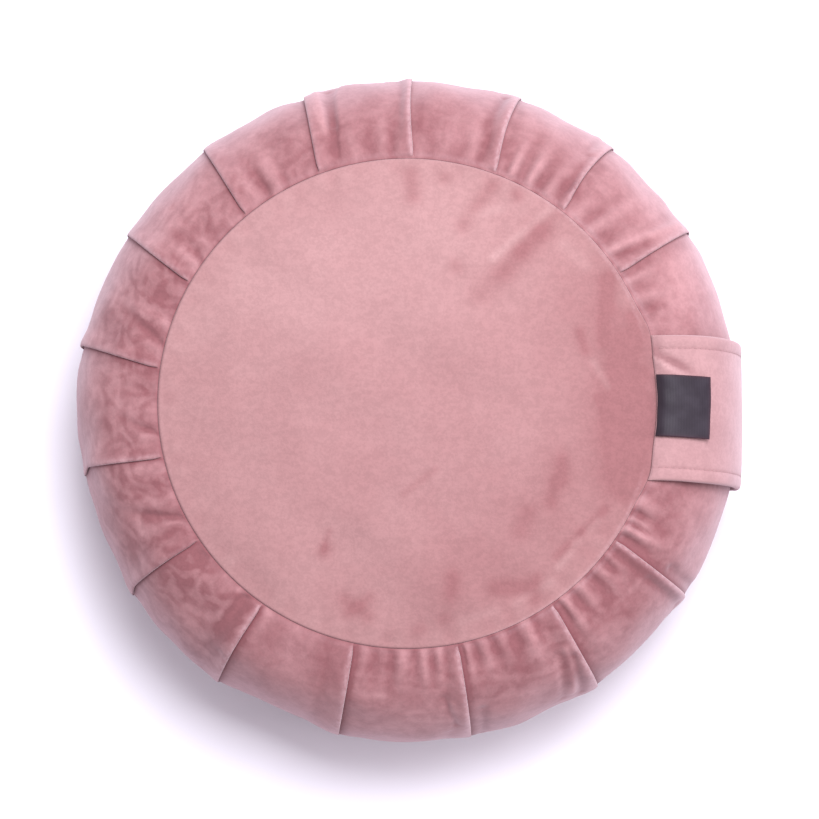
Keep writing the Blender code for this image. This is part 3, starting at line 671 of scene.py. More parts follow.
SIDE_MARKS_AND_SHADE = [  # bearing and distance of one end, the same of the other, width, tone: marks in the pile, and painted light and shade along creases and beside pleats
    (2.6, 18, 2.4, 40, 3.0, -0.8), (350.5, 12, 351.5, 30, 9.0, -0.35), (351.0, 44, 352.0, 60, 8.0, -0.2),
    (21.8, 12, 21.2, 48, 3.0, -0.7), (39.6, 12, 39.4, 40, 3.0, -0.6), (54.2, 52, 54.0, 55, 3.0, -0.8),
    (59.6, 14, 60.0, 52, 3.5, -0.5), (68.4, 26, 64.0, 38, 9.0, 0.5), (112.0, 34, 113.0, 38, 9.0, 0.35),
    (111.5, 20, 118.0, 26, 7.0, -0.4), (136.0, 24, 132.0, 34, 12.0, -0.35),
    (126.0, 10, 125.6, 60, 3.0, -0.6), (157.0, 24, 161.0, 34, 10.0, -0.25),
    (184.5, 28, 190.0, 27, 1.8, 0.7), (185.5, 36, 191.0, 38, 5.0, -0.6),
    (176.5, 44, 180.0, 50, 10.0, 0.3), (199.0, 18, 207.0, 34, 14.0, -0.15),
    (218.0, 8, 219.6, 44, 3.6, -0.8), (219.4, 34, 220.2, 36, 3.0, 0.8),
    (227.0, 20, 231.0, 24, 6.0, -0.35), (228.0, 14, 233.0, 13, 2.4, 0.35),
    (241.0, 33, 244.0, 35, 5.0, -0.6), (244.0, 27, 248.0, 29, 2.4, 0.6),
    (251.5, 34, 249.0, 52, 5.0, -0.5), (241.0, 46, 246.0, 50, 6.0, -0.4),
    (254.0, 30, 256.0, 40, 6.0, -0.4), (258.4, 22, 259.0, 38, 2.2, 1.0), (267.0, 26, 274.0, 23, 3.0, 0.5),
    (266.0, 33, 272.0, 34, 3.0, -0.4), (284.0, 30, 287.0, 44, 7.0, -0.7),
    (290.0, 40, 294.0, 46, 5.0, 0.5), (292.0, 34, 296.0, 36, 5.0, -0.4),
    (304.8, 18, 306.0, 24, 3.4, -0.7), (304.0, 34, 308.0, 40, 9.0, 0.4), (330.0, 18, 329.0, 34, 6.0, 0.5),
    (334.0, 22, 337.0, 36, 7.0, -0.5), (326.0, 40, 332.0, 50, 7.0, 0.4), (12.0, 42, 14.0, 46, 6.0, -0.3),
    (8.0, 28, 10.0, 34, 7.0, -0.3), (343.2, 22, 343.8, 84, 2.2, 0.9), (345.4, 20, 345.4, 46, 3.0, -0.7),
    (221.4, 4, 217.8, 44, 3.2, -1.0), (232.5, 3, 236.0, 7, 2.4, -0.9), (17.4, 44, 17.7, 86, 1.8, -0.7),
    (35.2, 44, 35.3, 86, 1.8, -0.7), (358.9, 44, 358.8, 86, 1.8, -0.6), (149.6, 30, 151.6, 52, 2.0, 0.8),
    (148.0, 30, 149.8, 54, 2.2, -1.0), (282.6, 34, 283.4, 84, 1.8, 0.5),
    (240.0, 44, 246.0, 40, 4.0, -0.7), (226.0, 56, 221.0, 60, 5.0, -0.6),
    (247.0, 27, 243.0, 31, 3.0, 0.6), (256.0, 20, 250.0, 26, 3.0, 0.4), (288.0, 44, 294.0, 38, 3.5, 0.6),
    (304.0, 33, 317.0, 34, 13.0, 0.50), (283.0, 12, 296.0, 20, 12.0, -0.45),
    (284.0, 38, 291.0, 42, 8.0, -0.45), (71.6, 3, 71.0, 12, 2.6, 0.7), (66.0, 6, 68.0, 12, 4.0, -0.5),
    (53.0, 3, 55.4, 34, 2.0, 0.4), (54.6, 8, 57.0, 26, 3.4, -0.5), (118.6, 44, 122.4, 50, 4.0, -0.5),
    (206.0, 14, 200.0, 22, 14.0, 0.30), (262.0, 40, 276.0, 44, 8.0, 0.3),
]
CRUSHED = [  # bearing, how much the crushed patches show
    (0, 0.09), (60, 0.13), (110, 0.20), (150, 0.24), (190, 0.18), (194, 0.10), (212, 0.10), (217, 0.38),
    (300, 0.36), (335, 0.16),
]
CRUSHED_DOWN = [(0, 0.5), (12, 1), (50, 0.9), (80, 0.4)]  # the same by millimetres from the top seam
CRUSHED_SIZE = 0.0088
SWIRL = 0.0030  # how far the patches are drawn out of shape
SWIRL_SIZE = 0.018
PAINTED_LIGHT_ROUND = [  # bearing, painted light and shade there from seam to seam: mostly lighter towards the lamps and darker away from them
    (0, 0.07), (20, 0.22), (45, 0.27), (58, 0.30), (68, 0.46), (80, 0.10), (110, -0.14), (150, -0.14),
    (185, 0.04), (212, -0.22), (242, -0.36), (265, -0.04), (300, 0.10), (325, 0.0), (345, -0.02),
]
BAND_MOVED = [(6, 0.034, 7), (2.5, 0.012, 8)]  # millimetres that the bands move by, size of the lumps, seed
CRUSHED_SHARP, FOLDS_SHARP = 2.4, 1.1  # how soon a patch or a ridge has its full tone
# Gains of the painted light and shade on the gathers, of the marks, and of the painted shade in the folds'
# hollows.
FOLDS_TONE, STROKES_TONE, SHADE_TONE = 0.85, 0.75, 0.9


def side_tone(on_cloth, from_seam, eased, shade):
    """How light the pile looks, about -1 to 1: painted shade and light by distance from the seam and round
    the side, painted light on ridges and shade in hollows, marks with painted lines, and crushed patches.
    """
    far = from_seam * 1000
    for moved, size, seed in BAND_MOVED:
        far = far + moved * lumps(on_cloth, size, seed)
    tone = np.interp(far, *np.array(SIDE_TONES, float).T)
    marks = strokes(side_bearing, from_seam * 1000, SIDE_MARKS_AND_SHADE, DEGREE)
    flat = on_rings(side_bearing, LAY_RADIUS, from_seam)
    swirl = np.stack([lumps(flat, SWIRL_SIZE, seed) for seed in (31, 32, 33)], axis=-1)
    crushed = np.tanh(CRUSHED_SHARP * lumps(flat + SWIRL * swirl, CRUSHED_SIZE, 9))
    crushed = crushed * np.interp(far, *np.array(CRUSHED_DOWN, float).T)
    crushed = crushed * round_the_side(side_bearing, CRUSHED)[0]
    # Painted light round the side towards the lamps, and painted shade away from them.
    tone = tone + round_the_side(side_bearing, PAINTED_LIGHT_ROUND)[0]
    # Painted light on the backs of gathers and creases, and painted shade in their hollows.
    folds = FOLDS_TONE * np.tanh(FOLDS_SHARP * eased)
    return tone + folds + STROKES_TONE * marks - SHADE_TONE * shade + crushed


# %% [markdown]
# ## The pleated side
#
# Arc, chords, folds, gathers, creases and swell are added up along the normal of the arc, level by level.
# At both seams the band turns down into a narrow groove, and inside it a plain closed body stands for
# the filling, as in the frame.

# %% Make the pleated side
LIP = np.array([  # the band's turn into a seam, in millimetres: out from the seam's circle, and into the seam
    (0.03, 3.55), (0.03, 2.6), (0.05, 1.7), (0.22, 0.90), (0.60, 0.42), (1.25, 0.14),
])
LIP_DEEP = 0.0015  # what is deeper than this in the groove doesn't follow the groove's depth
LIP_RAISED = 0.00045  # the lip bulges by this much where the groove is shallow
LIP_RAISED_WIDTH = 0.8  # millimetres
LUMP_HIGH = 0.0006
LUMP_SIZE = 0.030
FOLDS_GAIN = 1.2
LOW_FOLDS_GAIN = 0.7
FROM_THE_SEAM = 0.020  # lumps and swell come up over this distance from a seam
FROM_THE_TOP_SEAM = 0.012  # and the swell under the top seam over this one
LIP_DARK = 0.9  # the painted shade of the groove ends this many millimetres out
LIP_DARK_OVER = 0.6
FUZZ_HIGHLIGHT_AT = 0.0026  # the pale fuzz and painted highlight of the seam's lip lie this far down the side
FUZZ_HIGHLIGHT_WIDTH = 0.0010
FUZZ_HIGHLIGHT_GAIN = 0.25
CROWN_RINGS = (0.035, 0.120)  # radii of the rings that bend the hidden faces under the top


def side_surface():
    """The band from seam to seam, with the tone of its pile and where each point was on the flat cloth."""
    share = LEVEL_SHARE[:, None]
    far = FROM_TOP_SEAM[:, None]
    low = FROM_LOW_SEAM[:, None]
    seam = seam_radius(side_bearing)
    radius = seam + (SIDE_RADIUS - seam) * share
    radius = radius * (1 - chord_drop(side_bearing, LEVEL_SHARE))
    on_cloth = on_rings(side_bearing, radius, LEVEL_Z[:, None])
    eased = gathered(side_bearing, far) + strokes(side_bearing, far * 1000, CREASES, DEGREE)
    folds = eased * (1 - 0.6 * fold_slit) + LOW_FOLDS_GAIN * low_gathered(side_bearing, low)
    off_low_seam = smooth_step(low / FROM_THE_SEAM)
    soft = LUMP_HIGH * lumps(on_cloth, LUMP_SIZE, 3) * smooth_step(far / FROM_THE_SEAM) * off_low_seam
    full = round_the_side(side_bearing, FULLNESS)[0]
    puff = swell_at(np.broadcast_to(LEVELS[:, None], side_bearing.shape), side_bearing)
    puff = puff * smooth_step(far / FROM_THE_TOP_SEAM) * off_low_seam + full / 1000 * share**2
    raised = fold_raised + FOLDS_GAIN * folds / 1000 + soft + puff
    radius = radius + raised * LEVEL_OUT[:, None]
    points = on_rings(side_bearing, radius, LEVEL_Z[:, None] + raised * LEVEL_UP[:, None])
    lay = on_rings(side_bearing, LAY_RADIUS, far)
    return points, side_tone(on_cloth, far, eased, fold_shade), lay


def side_lips(seam_z, inward):
    """The rings where the band turns into a seam: inward is -1 at the top seam and 1 at the bottom."""
    rows = LIP if inward < 0 else LIP[::-1]
    out, sunk = rows[:, :1], rows[:, 1:] / 1000
    if inward < 0:
        depth = round_the_side(seam_bearing, SEAM_LOOKS)[0]
        raised = LIP_RAISED * (1 - depth) * bell(out, LIP_RAISED_WIDTH)
        sunk = np.where(sunk < LIP_DEEP, sunk * depth - raised, sunk)
    return on_rings(seam_bearing, seam_radius(seam_bearing) + out / 1000, seam_z + inward * sunk)


def crown_z(radius):
    """The top round's outer face: a shallow dome that steepens towards its seam."""
    return TOP_SEAM_Z + CROWN * (1 - np.clip(radius / SEAM_RADIUS, 0, 1) ** CROWN_POWER)


def plain_rings(radii, heights):
    """Rings inside the cushion, with the side's own bearings at the seam."""
    return on_rings(seam_bearing, np.array(radii)[:, None], np.array(heights)[:, None])


def make_side():
    """The closed padded piece: crown, top lips, side, bottom lips and base."""
    wall, tone, lay = side_surface()
    under = CLOTH + GAP
    top_z = [crown_z(radius) - under for radius in CROWN_RINGS]
    top = plain_rings([*CROWN_RINGS, HEEL_RADIUS], [*top_z, TOP_SEAM_Z - HEEL - GAP])
    base = plain_rings([HEEL_RADIUS, FLAT_RADIUS - GAP], [BOTTOM_SEAM_Z + HEEL + GAP, under])
    points = np.concatenate([top, side_lips(TOP_SEAM_Z, -1), wall, side_lips(BOTTOM_SEAM_Z, 1), base])
    points[..., 2] = np.maximum(points[..., 2], LOWEST)
    rows, columns = points.shape[:2]
    first = len(top) + len(LIP)
    last = first + len(wall)
    dark, fuzz_and_highlight = round_the_side(np.broadcast_to(seam_bearing, (rows, columns)), SEAM_LOOKS)[1:]
    fields = {name: np.zeros((rows, columns)) for name in ("edge", "slit", "seam", "tone")}
    band = slice(first, last)
    fields["tone"][band] = tone
    fields["tone"][:first] = tone[0]
    by_seam = bell(FROM_TOP_SEAM[:, None] - FUZZ_HIGHLIGHT_AT, FUZZ_HIGHLIGHT_WIDTH)
    # Pale fuzz and a painted highlight on the lip of the top seam, strongest on the side towards the lamps.
    fields["edge"][band] = fold_edge + FUZZ_HIGHLIGHT_GAIN * fuzz_and_highlight[band] * by_seam
    # Painted shade in the slits and beside the folds.
    fields["slit"][band] = fold_slit
    # Painted shade in the groove of the top seam, on the hidden rows and on the lips.
    fields["seam"][:first] = dark[:first]
    fields["seam"][len(top) : first] *= smooth_step((LIP_DARK - LIP[:, :1]) / LIP_DARK_OVER)
    lay = np.concatenate([np.repeat(lay[:1], first, axis=0), lay, np.repeat(lay[-1:], rows - last, axis=0)])
    start = (rows - 1) * columns
    caps = [range(columns)[::-1], range(start, start + columns)]
    return new_piece("cushion_side", points, [grid_faces(rows, columns)], caps, fields, lay)


cushion_side = make_side()

# %% [markdown]
# ## The two rounds
#
# The top round lies over the filling as a shallow dome and rolls down into the seam. Its rim is drawn a
# little in and out by the stitches, and hulls under it give long low lumps. A table gives lines in its pile,
# each with a width and a tone: narrow marks that hands have left, broad areas that are lighter towards the
# top and left and darker towards the right, and painted shade in a band beside the handle. The rim's puckers
# carry painted light on their rises and painted shade in their dips. The bottom round lies flat on what the
# cushion stands on.

# %% Make the two rounds
ROUND_COLUMNS = 420
PUCKER = 0.00022
PUCKER_WAVES = [(46, 0.6, 1.0), (71, 2.0, 0.7), (29, 0.0, 0.5)]  # how many round the rim, phase, height
PUCKER_AT = SEAM_RADIUS - 0.0060
PUCKER_WIDTH = 0.0045
HULLS = [(0.0009, 0.060, 11), (0.0003, 0.024, 5)]  # the lumps of the hulls: height, size, seed
RIM_LEVEL = TOP_SEAM_Z + 0.0007  # below this the rim follows the depth of the groove
# The width and strength of the pale fuzz and painted highlight on the top round's rim.
RIM_FUZZ_HIGHLIGHT_WIDTH = 0.0008
RIM_FUZZ_HIGHLIGHT = 0.9
RIM_DARK = (SEAM_RADIUS - 0.0006, 0.0005)  # the groove's painted shade sets in here, and over this much
RIM_FREE = 0.02  # the hulls' lumps come up over this distance from the rim
MARKS_GAIN = 1.6
# Narrow marks in the pile; the rows 18 mm wide and more are broad lighter and darker areas, and the two at x
# about 124 are painted shade beside the handle.
TOP_MARKS_AND_SHADE = [  # x and y of one end, the same of the other, width, all in millimetres, and tone
    (2, 129, 3, 115, 5.0, -0.55), (21, 127, 21, 126, 4.0, -0.45), (47, 121, 31, 98, 4.5, -0.45),
    (61, 117, 62, 115, 3.5, -0.4), (86, 106, 74, 96, 7.0, -0.40), (74, 96, 64, 84, 7.0, -0.40),
    (64, 84, 54, 72, 7.0, -0.35), (54, 72, 41, 60, 7.0, -0.30), (80, 108, 48, 80, 2.8, 0.50),
    (27, 76, 28, 74, 4.0, -0.35), (112, 69, 112, 54, 6.0, -0.45), (109, 46, 109, 34, 3.0, -0.30),
    (126, 48, 127, 36, 3.0, -0.35), (96, 39, 99, 28, 3.0, -0.35), (126, 34, 124, -10, 17.0, -0.42),
    (124, -10, 122, -44, 15.0, -0.38), (104, 22, 112, 8, 2.2, 0.35), (106, 2, 114, -12, 2.2, -0.30),
    (86, -33, 86, -43, 5.0, -0.35), (82, -46, 80, -56, 4.5, -0.35), (66, -62, 63, -72, 6.0, -0.30),
    (110, -60, 97, -73, 2.6, -0.40), (106, -66, 93, -79, 2.2, 0.40), (97, -73, 83, -86, 2.6, -0.35),
    (91, -84, 84, -92, 2.2, 0.40), (-2, -52, 16, -38, 2.2, -0.25), (-46, -84, -45, -82, 4.0, -0.50),
    (-46, -82, -43, -72, 1.8, -0.35), (-34, -110, -22, -119, 4.5, -0.40),
    (-21, -109, -33, -118, 3.6, -0.35), (25, -98, 24, -108, 5.0, -0.35), (49, -104, 66, -103, 5.0, -0.40),
    (72, -98, 71, -110, 3.4, -0.35), (20, -121, 21, -120, 4.0, -0.35), (6, -127, 8, -126, 4.0, -0.30),
    (-60, 70, 10, 95, 45.0, 0.30), (40, -100, 105, -50, 40.0, -0.27), (105, 40, 125, -30, 28.0, -0.16),
    (-100, 10, -60, -80, 36.0, 0.05), (100, 70, 118, 20, 22.0, -0.22), (-120, 40, -100, 70, 18.0, 0.15),
    (36, 104, 52, 108, 3.0, 0.25), (88, 88, 100, 76, 4.0, 0.25), (60, -112, 80, -100, 2.4, 0.25),
    (30, -122, 50, -116, 2.4, 0.20),
]


def round_sheet(name, outer, inner, is_top):
    """A round of cloth from rows of (radius, z): outer face from its middle to the rim, then back inside."""
    bearing = np.arange(ROUND_COLUMNS) * 360 / ROUND_COLUMNS
    rows = np.array(outer + inner, float)
    radius = rows[:, :1] + (seam_radius(bearing) - SEAM_RADIUS) * rows[:, :1] / SEAM_RADIUS
    z = np.broadcast_to(rows[:, 1:], radius.shape).copy()
    tone, dark, fuzz_and_highlight = np.zeros((3, *z.shape))
    count = len(outer)
    if is_top:
        flat = on_rings(bearing, radius, z)[:count]
        depth, darkness, fuzz_and_highlight_strength = round_the_side(bearing, SEAM_LOOKS)
        rolled = np.where(z[:count] < RIM_LEVEL, RIM_LEVEL + (z[:count] - RIM_LEVEL) * depth, z[:count])
        inside = smooth_step((SEAM_RADIUS - radius[:count]) / RIM_FREE)
        hulls = sum(high * lumps(flat, size, seed) for high, size, seed in HULLS)
        near = bell(PUCKER_AT - radius[:count], PUCKER_WIDTH)
        wave = waves_round(bearing, PUCKER_WAVES)
        z[:count] = rolled + hulls * inside + PUCKER * wave * near
        marks = strokes(1000 * flat[..., 0], 1000 * flat[..., 1], TOP_MARKS_AND_SHADE)
        # The last term is painted light on the rises of the rim's puckers and painted shade in their dips.
        tone[:count] = MARKS_GAIN * marks + 0.04 * lumps(flat, LUMP_SIZE, 12) + 0.10 * wave * near
        # Painted shade where the rim goes down into the groove, and on its wall and inner face.
        dark[:count] = darkness * ramp(rows[:count, :1], *RIM_DARK)
        dark[count:] = darkness
        # Pale fuzz and a painted highlight on the rim's edge and wall, over the groove's shade.
        fuzz_and_highlight[count - 1 :] = RIM_FUZZ_HIGHLIGHT * fuzz_and_highlight_strength
        off_rim = SEAM_RADIUS - RIM_FUZZ_HIGHLIGHT_WIDTH - radius[: count - 1]
        fuzz_and_highlight[: count - 1] = FUZZ_HIGHLIGHT_GAIN * fuzz_and_highlight_strength * bell(off_rim, RIM_FUZZ_HIGHLIGHT_WIDTH)
    last = (len(rows) - 1) * ROUND_COLUMNS
    caps = [range(ROUND_COLUMNS), range(last, last + ROUND_COLUMNS)]
    fields = {"tone": tone, "seam": dark, "edge": fuzz_and_highlight}
    faces = [grid_faces(len(rows), ROUND_COLUMNS)]
    return new_piece(name, on_rings(bearing, radius, z), faces, caps, fields)


# Rows of (radius, height) from the middle of the outer face round the rim to the middle of the inner one.
rim = SEAM_RADIUS + 0.00005
dome = np.concatenate([np.linspace(0.002, 0.126, 78), np.linspace(0.1275, 0.1340, 7)])
top_outer = [(radius, crown_z(radius)) for radius in dome]
top_outer += [(0.1353, TOP_SEAM_Z + 0.00065), (0.1364, TOP_SEAM_Z + 0.00040), (0.1372, TOP_SEAM_Z)]
top_outer += [(0.13775, TOP_SEAM_Z - 0.0006), (rim, TOP_SEAM_Z - 0.0013)]
top_inner = [(rim, TOP_SEAM_Z - 0.0030), (HEEL_RADIUS, TOP_SEAM_Z - HEEL)]
top_inner += [(radius, crown_z(radius) - CLOTH) for radius in CROWN_RINGS[::-1]]
top_round = round_sheet("top_round", top_outer, top_inner, True)

low_outer = [(radius, 0.0) for radius in np.linspace(0.003, FLAT_RADIUS, 24)]
low_outer += [(0.1300, 0.0003), (0.1325, 0.0009), (0.1345, 0.0018), (0.1362, 0.0030), (0.1373, 0.0042)]
low_outer += [(rim, 0.0054)]
low_inner = [(rim, BOTTOM_SEAM_Z + 0.0030), (HEEL_RADIUS, BOTTOM_SEAM_Z + HEEL), (FLAT_RADIUS, CLOTH)]
low_inner += [(0.060, CLOTH)]
bottom_round = round_sheet("bottom_round", low_outer, low_inner, False)

# %% [markdown]
# ## The handle
#
# The handle is a wide strap of the same plush, folded to a double layer with its edges turned in and
# topstitched along both sides. It lies snug over the shoulder of the cushion and stands off it lower down,
# where fingers go in. Its section is carried along its route from the top seam to the bottom one.

# %% Make the handle
HANDLE_WIDTH = 0.0830
HALF_WIDTH = HANDLE_WIDTH / 2
HANDLE_Y = -0.0031  # its middle
HANDLE_SLANT = -0.0016  # how far its middle has moved at the widest level
HANDLE_SWUNG_BACK = 0.0030  # and back again below that
WIDEST_SHARE = 0.45  # the widest level's place on its route, as a share
SWUNG_BACK_OVER = 0.4
HANDLE_DRAWN_IN = 0.0010  # each edge is this much further in at the top seam
DRAWN_IN_SHARE = 0.12
HANDLE_SUNK = 0.0013  # its outer face is pulled down by this much where it goes into the seam
SUNK_REACH = 0.0028
HANDLE_THICK = 0.0030
HANDLE_END_THICK = 0.0018
EDGE_ROUND = 0.0016  # its edges are rounded over this width
EDGE_POINTS = 7
HEM = 0.0074
HANDLE_ROUND = 0.36  # off the seams it is bent across by this share of the seam's own curve
SEAM_ROUND = 0.09  # which it reaches at this share of its length
END_SHARE = 0.05  # its ends are pressed thin over this share
STITCH_PITCH = 0.0030
HANDLE_ROWS = 130
LOWEST_STRAP = 0.0001

# What shows on its outer face, in metres.
TROUGH, TROUGH_WIDTH = 0.00024, 0.0011  # under the topstitching
DIMPLE = 0.00010  # at each stitch
HEM_HIGH, HEM_WIDTH = 0.00030, 0.0026
# Each wave: height, then radians a metre and phase across the strap, then the same along it.
WAVES = [(0.0003, 95, 1.0, 46, 0.5), (0.0002, 190, 0.0, 120, 0.0)]
RELIEF_ENDS = 0.03  # all three fade out over this share at both ends
PINCH_HIGH, HOLLOW_DEEP = 0.0015, 0.0016
LINE_WIDTH = 0.0008  # the painted shade along the stitched line
# How dark the painted shade is along the stitched lines and in the hollow beside the pinch.
LINE_DARK, HOLLOW_DARK = 0.22, 0.3
PINCH_LIGHT, HOLLOW_SHADE = 1.1, 1.8
STRAP_TONE, STRAP_TONE_SIZE = 0.10, 0.020
HANDLE_STAND = [  # angle of the arc, millimetres off the side
    (90, 0.6), (76, 0.8), (60, 1.3), (40, 1.4), (20, 0.3), (5, 0.0), (-12, 1.2), (-28, 6.5), (-42, 10.6),
    (-52, 11.3), (-60, 9.0), (-67, 5.4), (-75, 2.4), (-83, 0.9), (-90, 0.5),
]
STRAP_MARKS = [  # place across, drift across, width, place along and reach, in metres
    (0.0285, 0.75, 0.0022, 0.0, 0.014),  # a pinched fold from the seam
    (0.0312, 0.52, 0.0026, 0.011, 0.009),  # the hollow beside it
    (0.0330, 0.0, 0.007, 0.0015, 0.003),  # the tuck in the corner
]


def handle_route(count):
    """The handle's inner face along its middle: x, z, the unit vectors off it, its share and its length."""
    degrees = np.linspace(90, -90, 4 * count)
    share, z = arc_point(degrees)
    out, up = arc_normal(degrees)
    off = np.interp(degrees, *np.array(HANDLE_STAND[::-1], float).T) / 1000
    taps = (count // 2) | 1
    off = np.convolve(np.pad(off, taps // 2, mode="edge"), np.ones(taps) / taps, mode="valid")
    seam = float(seam_radius(90.0))
    x = seam + (SIDE_RADIUS - seam) * share + off * out
    z = z + off * up
    length = np.append(0, np.cumsum(np.hypot(np.diff(x), np.diff(z))))
    even = np.linspace(0, length[-1], count)
    x, z = np.interp(even, length, x), np.interp(even, length, z)
    along_x, along_z = np.gradient(x), np.gradient(z)
    size = np.hypot(along_x, along_z)
    return x, z, np.maximum(-along_z / size, 0), along_x / size, even / length[-1], even


def seam_bow(across, share):
    """How far back the strap lies at a place across it, next to a round seam or on the side."""
    seam = float(seam_radius(90.0))
    bow = seam - np.sqrt(seam_radius(90 - np.degrees(np.arcsin(across / seam))) ** 2 - across**2)
    near = smooth_step(np.minimum(share, 1 - share) / SEAM_ROUND)
    return bow * (1 - (1 - HANDLE_ROUND) * near)


def strap_y(across, share):
    """Where a place across the strap lies along Y: moved by the slant, and drawn in next to the top seam."""
    drawn = 1 - HANDLE_DRAWN_IN / HANDLE_WIDTH * bell(share, DRAWN_IN_SHARE) * 2
    slant = HANDLE_SLANT * smooth_step(share / WIDEST_SHARE)
    back = HANDLE_SWUNG_BACK * ramp(share, WIDEST_SHARE, SWUNG_BACK_OVER)
    return HANDLE_Y + (slant + back) + across * drawn


def handle_thickness(share):
    """The strap's thickness at a share of its length, pressed thinner in the two seams."""
    near = np.clip(np.minimum(share, 1 - share) / END_SHARE, 0, 1)
    return HANDLE_END_THICK + (HANDLE_THICK - HANDLE_END_THICK) * near


def strap_section():
    """The strap cut across as (across, out): a flat loop whose two edges are half rounds.

    Its columns are close together over a millimetre on either side of both stitched lines.
    """
    stitched = HALF_WIDTH - HEM
    flat = np.concatenate([
        np.linspace(EDGE_ROUND - HALF_WIDTH, -stitched - 0.0014, 6),
        np.linspace(-stitched - 0.0010, -stitched + 0.0010, 7),
        np.linspace(-stitched + 0.0016, stitched - 0.0016, 34),
        np.linspace(stitched - 0.0010, stitched + 0.0010, 7),
        np.linspace(stitched + 0.0014, HALF_WIDTH - EDGE_ROUND, 6),
    ])
    turn = np.radians(np.linspace(90, -90, EDGE_POINTS + 2))[1:-1]
    right = np.stack([HALF_WIDTH - EDGE_ROUND + EDGE_ROUND * np.cos(turn), 0.5 + 0.5 * np.sin(turn)], axis=-1)
    outside = np.stack([flat, np.ones(len(flat))], axis=-1)
    inside = np.stack([flat[::-1], np.zeros(len(flat))], axis=-1)
    left = np.stack([-right[::-1, 0], right[::-1, 1]], axis=-1)
    return np.concatenate([outside, right, inside, left])


strap_x, strap_z, strap_out, strap_up, strap_share, strap_length = handle_route(HANDLE_ROWS)


def on_strap(across, along, off):
    """Points at places across and along the strap, that far off its inner face, and the way off it."""
    x, z, out, up = (np.interp(along, strap_length, part) for part in (strap_x, strap_z, strap_out, strap_up))
    x = x + GAP + off * out - seam_bow(across, along / strap_length[-1])
    return np.stack([x, across, z + off * up], axis=-1), out, up


def strap_pinch(across, along):
    """The pinched fold by the seam and the hollow beside it, each from 0 to 1."""
    pinch, hollow, tuck = (
        bell(across - at + drift * along, wide) * bell(along - middle, reach)
        for at, drift, wide, middle, reach in STRAP_MARKS
    )
    return pinch, hollow + 0.5 * tuck


def strap_relief(across, along, share):
    """What shows on the strap's outer face, in metres off it.

    Two troughs under the topstitching with a dimple at each stitch, full hems beside them, one pinch next
    to the seam and long soft waves.
    """
    from_line = np.abs(across) - HALF_WIDTH + HEM
    beat = 0.5 + 0.5 * np.cos(2 * np.pi * along / STITCH_PITCH)
    trough = -(TROUGH + DIMPLE * beat) * bell(from_line, TROUGH_WIDTH)
    hem = HEM_HIGH * bell(np.abs(across) - HALF_WIDTH + HEM / 2, HEM_WIDTH)
    soft = sum(high * np.sin(across * a + b) * np.sin(along * c + d) for high, a, b, c, d in WAVES)
    pinch, hollow = strap_pinch(across, along)
    ends = smooth_step(np.minimum(share, 1 - share) / RELIEF_ENDS)
    sunk = HANDLE_SUNK * bell(along, SUNK_REACH)
    relief = (trough + hem + soft) * ends + PINCH_HIGH * pinch - HOLLOW_DEEP * hollow - sunk
    return np.maximum(relief, -HANDLE_SUNK)


def make_handle():
    """The strap: its section carried along its route, with flat caps of narrow faces at both ends."""
    section = strap_section()
    side = section[:, 0][None]
    share, along = strap_share[:, None], strap_length[:, None]
    across = strap_y(side, share)
    outer = section[:, 1][None]
    relief = strap_relief(side, along, share) * outer
    off = outer * handle_thickness(share) + relief
    x = strap_x[:, None] + GAP + off * strap_out[:, None] - seam_bow(across, share)
    z = np.maximum(strap_z[:, None] + off * strap_up[:, None], LOWEST_STRAP)
    points = np.stack([x, np.broadcast_to(across, x.shape), z], axis=-1)
    rows, columns = x.shape
    flat_columns = columns // 2 - EDGE_POINTS
    line = bell(np.abs(side) - HALF_WIDTH + HEM, LINE_WIDTH) * outer
    pinch, hollow = strap_pinch(side, along)
    patches = STRAP_TONE * lumps(points, STRAP_TONE_SIZE, 21)
    # Painted highlight on the pinched fold, and painted shade in the hollow beside it and along the stitched
    # lines; the patches are the pile's own tone.
    tone = outer * (PINCH_LIGHT * pinch - HOLLOW_SHADE * hollow) + patches
    slit = LINE_DARK * line + HOLLOW_DARK * outer * hollow
    fields = {"edge": 0 * x, "slit": slit, "seam": 0 * x, "tone": tone}
    lay = np.stack([side + 0 * x, along + 0 * x, outer * 0.5 + 0 * x], axis=-1)
    caps = []
    for row in (0, rows - 1):
        base = row * columns
        for near in range(flat_columns - 1):
            far_side = 2 * flat_columns + EDGE_POINTS - 1 - near
            caps.append([base + near, base + near + 1, base + far_side - 1, base + far_side])
        caps.append([base + flat_columns - 1 + k for k in range(EDGE_POINTS + 2)])
        caps.append([base + columns - EDGE_POINTS - 1 + k for k in range(EDGE_POINTS + 1)] + [base])
    return new_piece("strap", points, [grid_faces(rows, columns)], caps, fields, lay)


strap = make_handle()

# %% [markdown]
# The thread of the topstitching lies in the two troughs. One stitch is a short round-ended capsule, and it
# is copied along both lines with its length laid along the strap.

# %% Make the topstitching
STITCH_RADIUS = 0.00017
STITCH_LONG = 0.0021
STITCH_LIFT = 0.00005
FIRST_STITCH = 0.0045  # from the top seam
LAST_STITCH = 0.004  # from the bottom seam
STEP_AHEAD = 0.0005  # the next point for a stitch's direction


def capsule(length, radius, rings=5, sides=6):
    """A capsule along Y as rings of points: half circles at both ends joined by a straight barrel."""
    turn = np.linspace(0, np.pi / 2, rings)
    straight = length / 2 - radius
    end_y = np.concatenate([-straight - radius * np.cos(turn), straight + radius * np.cos(turn[::-1])])
    end_r = np.concatenate([radius * np.sin(turn), radius * np.sin(turn[::-1])])[:, None]
    around = np.arange(sides) * 2 * np.pi / sides
    points = np.stack([end_r * np.cos(around), end_y[:, None] + 0 * around, end_r * np.sin(around)], axis=-1)
    return points[1:-1]


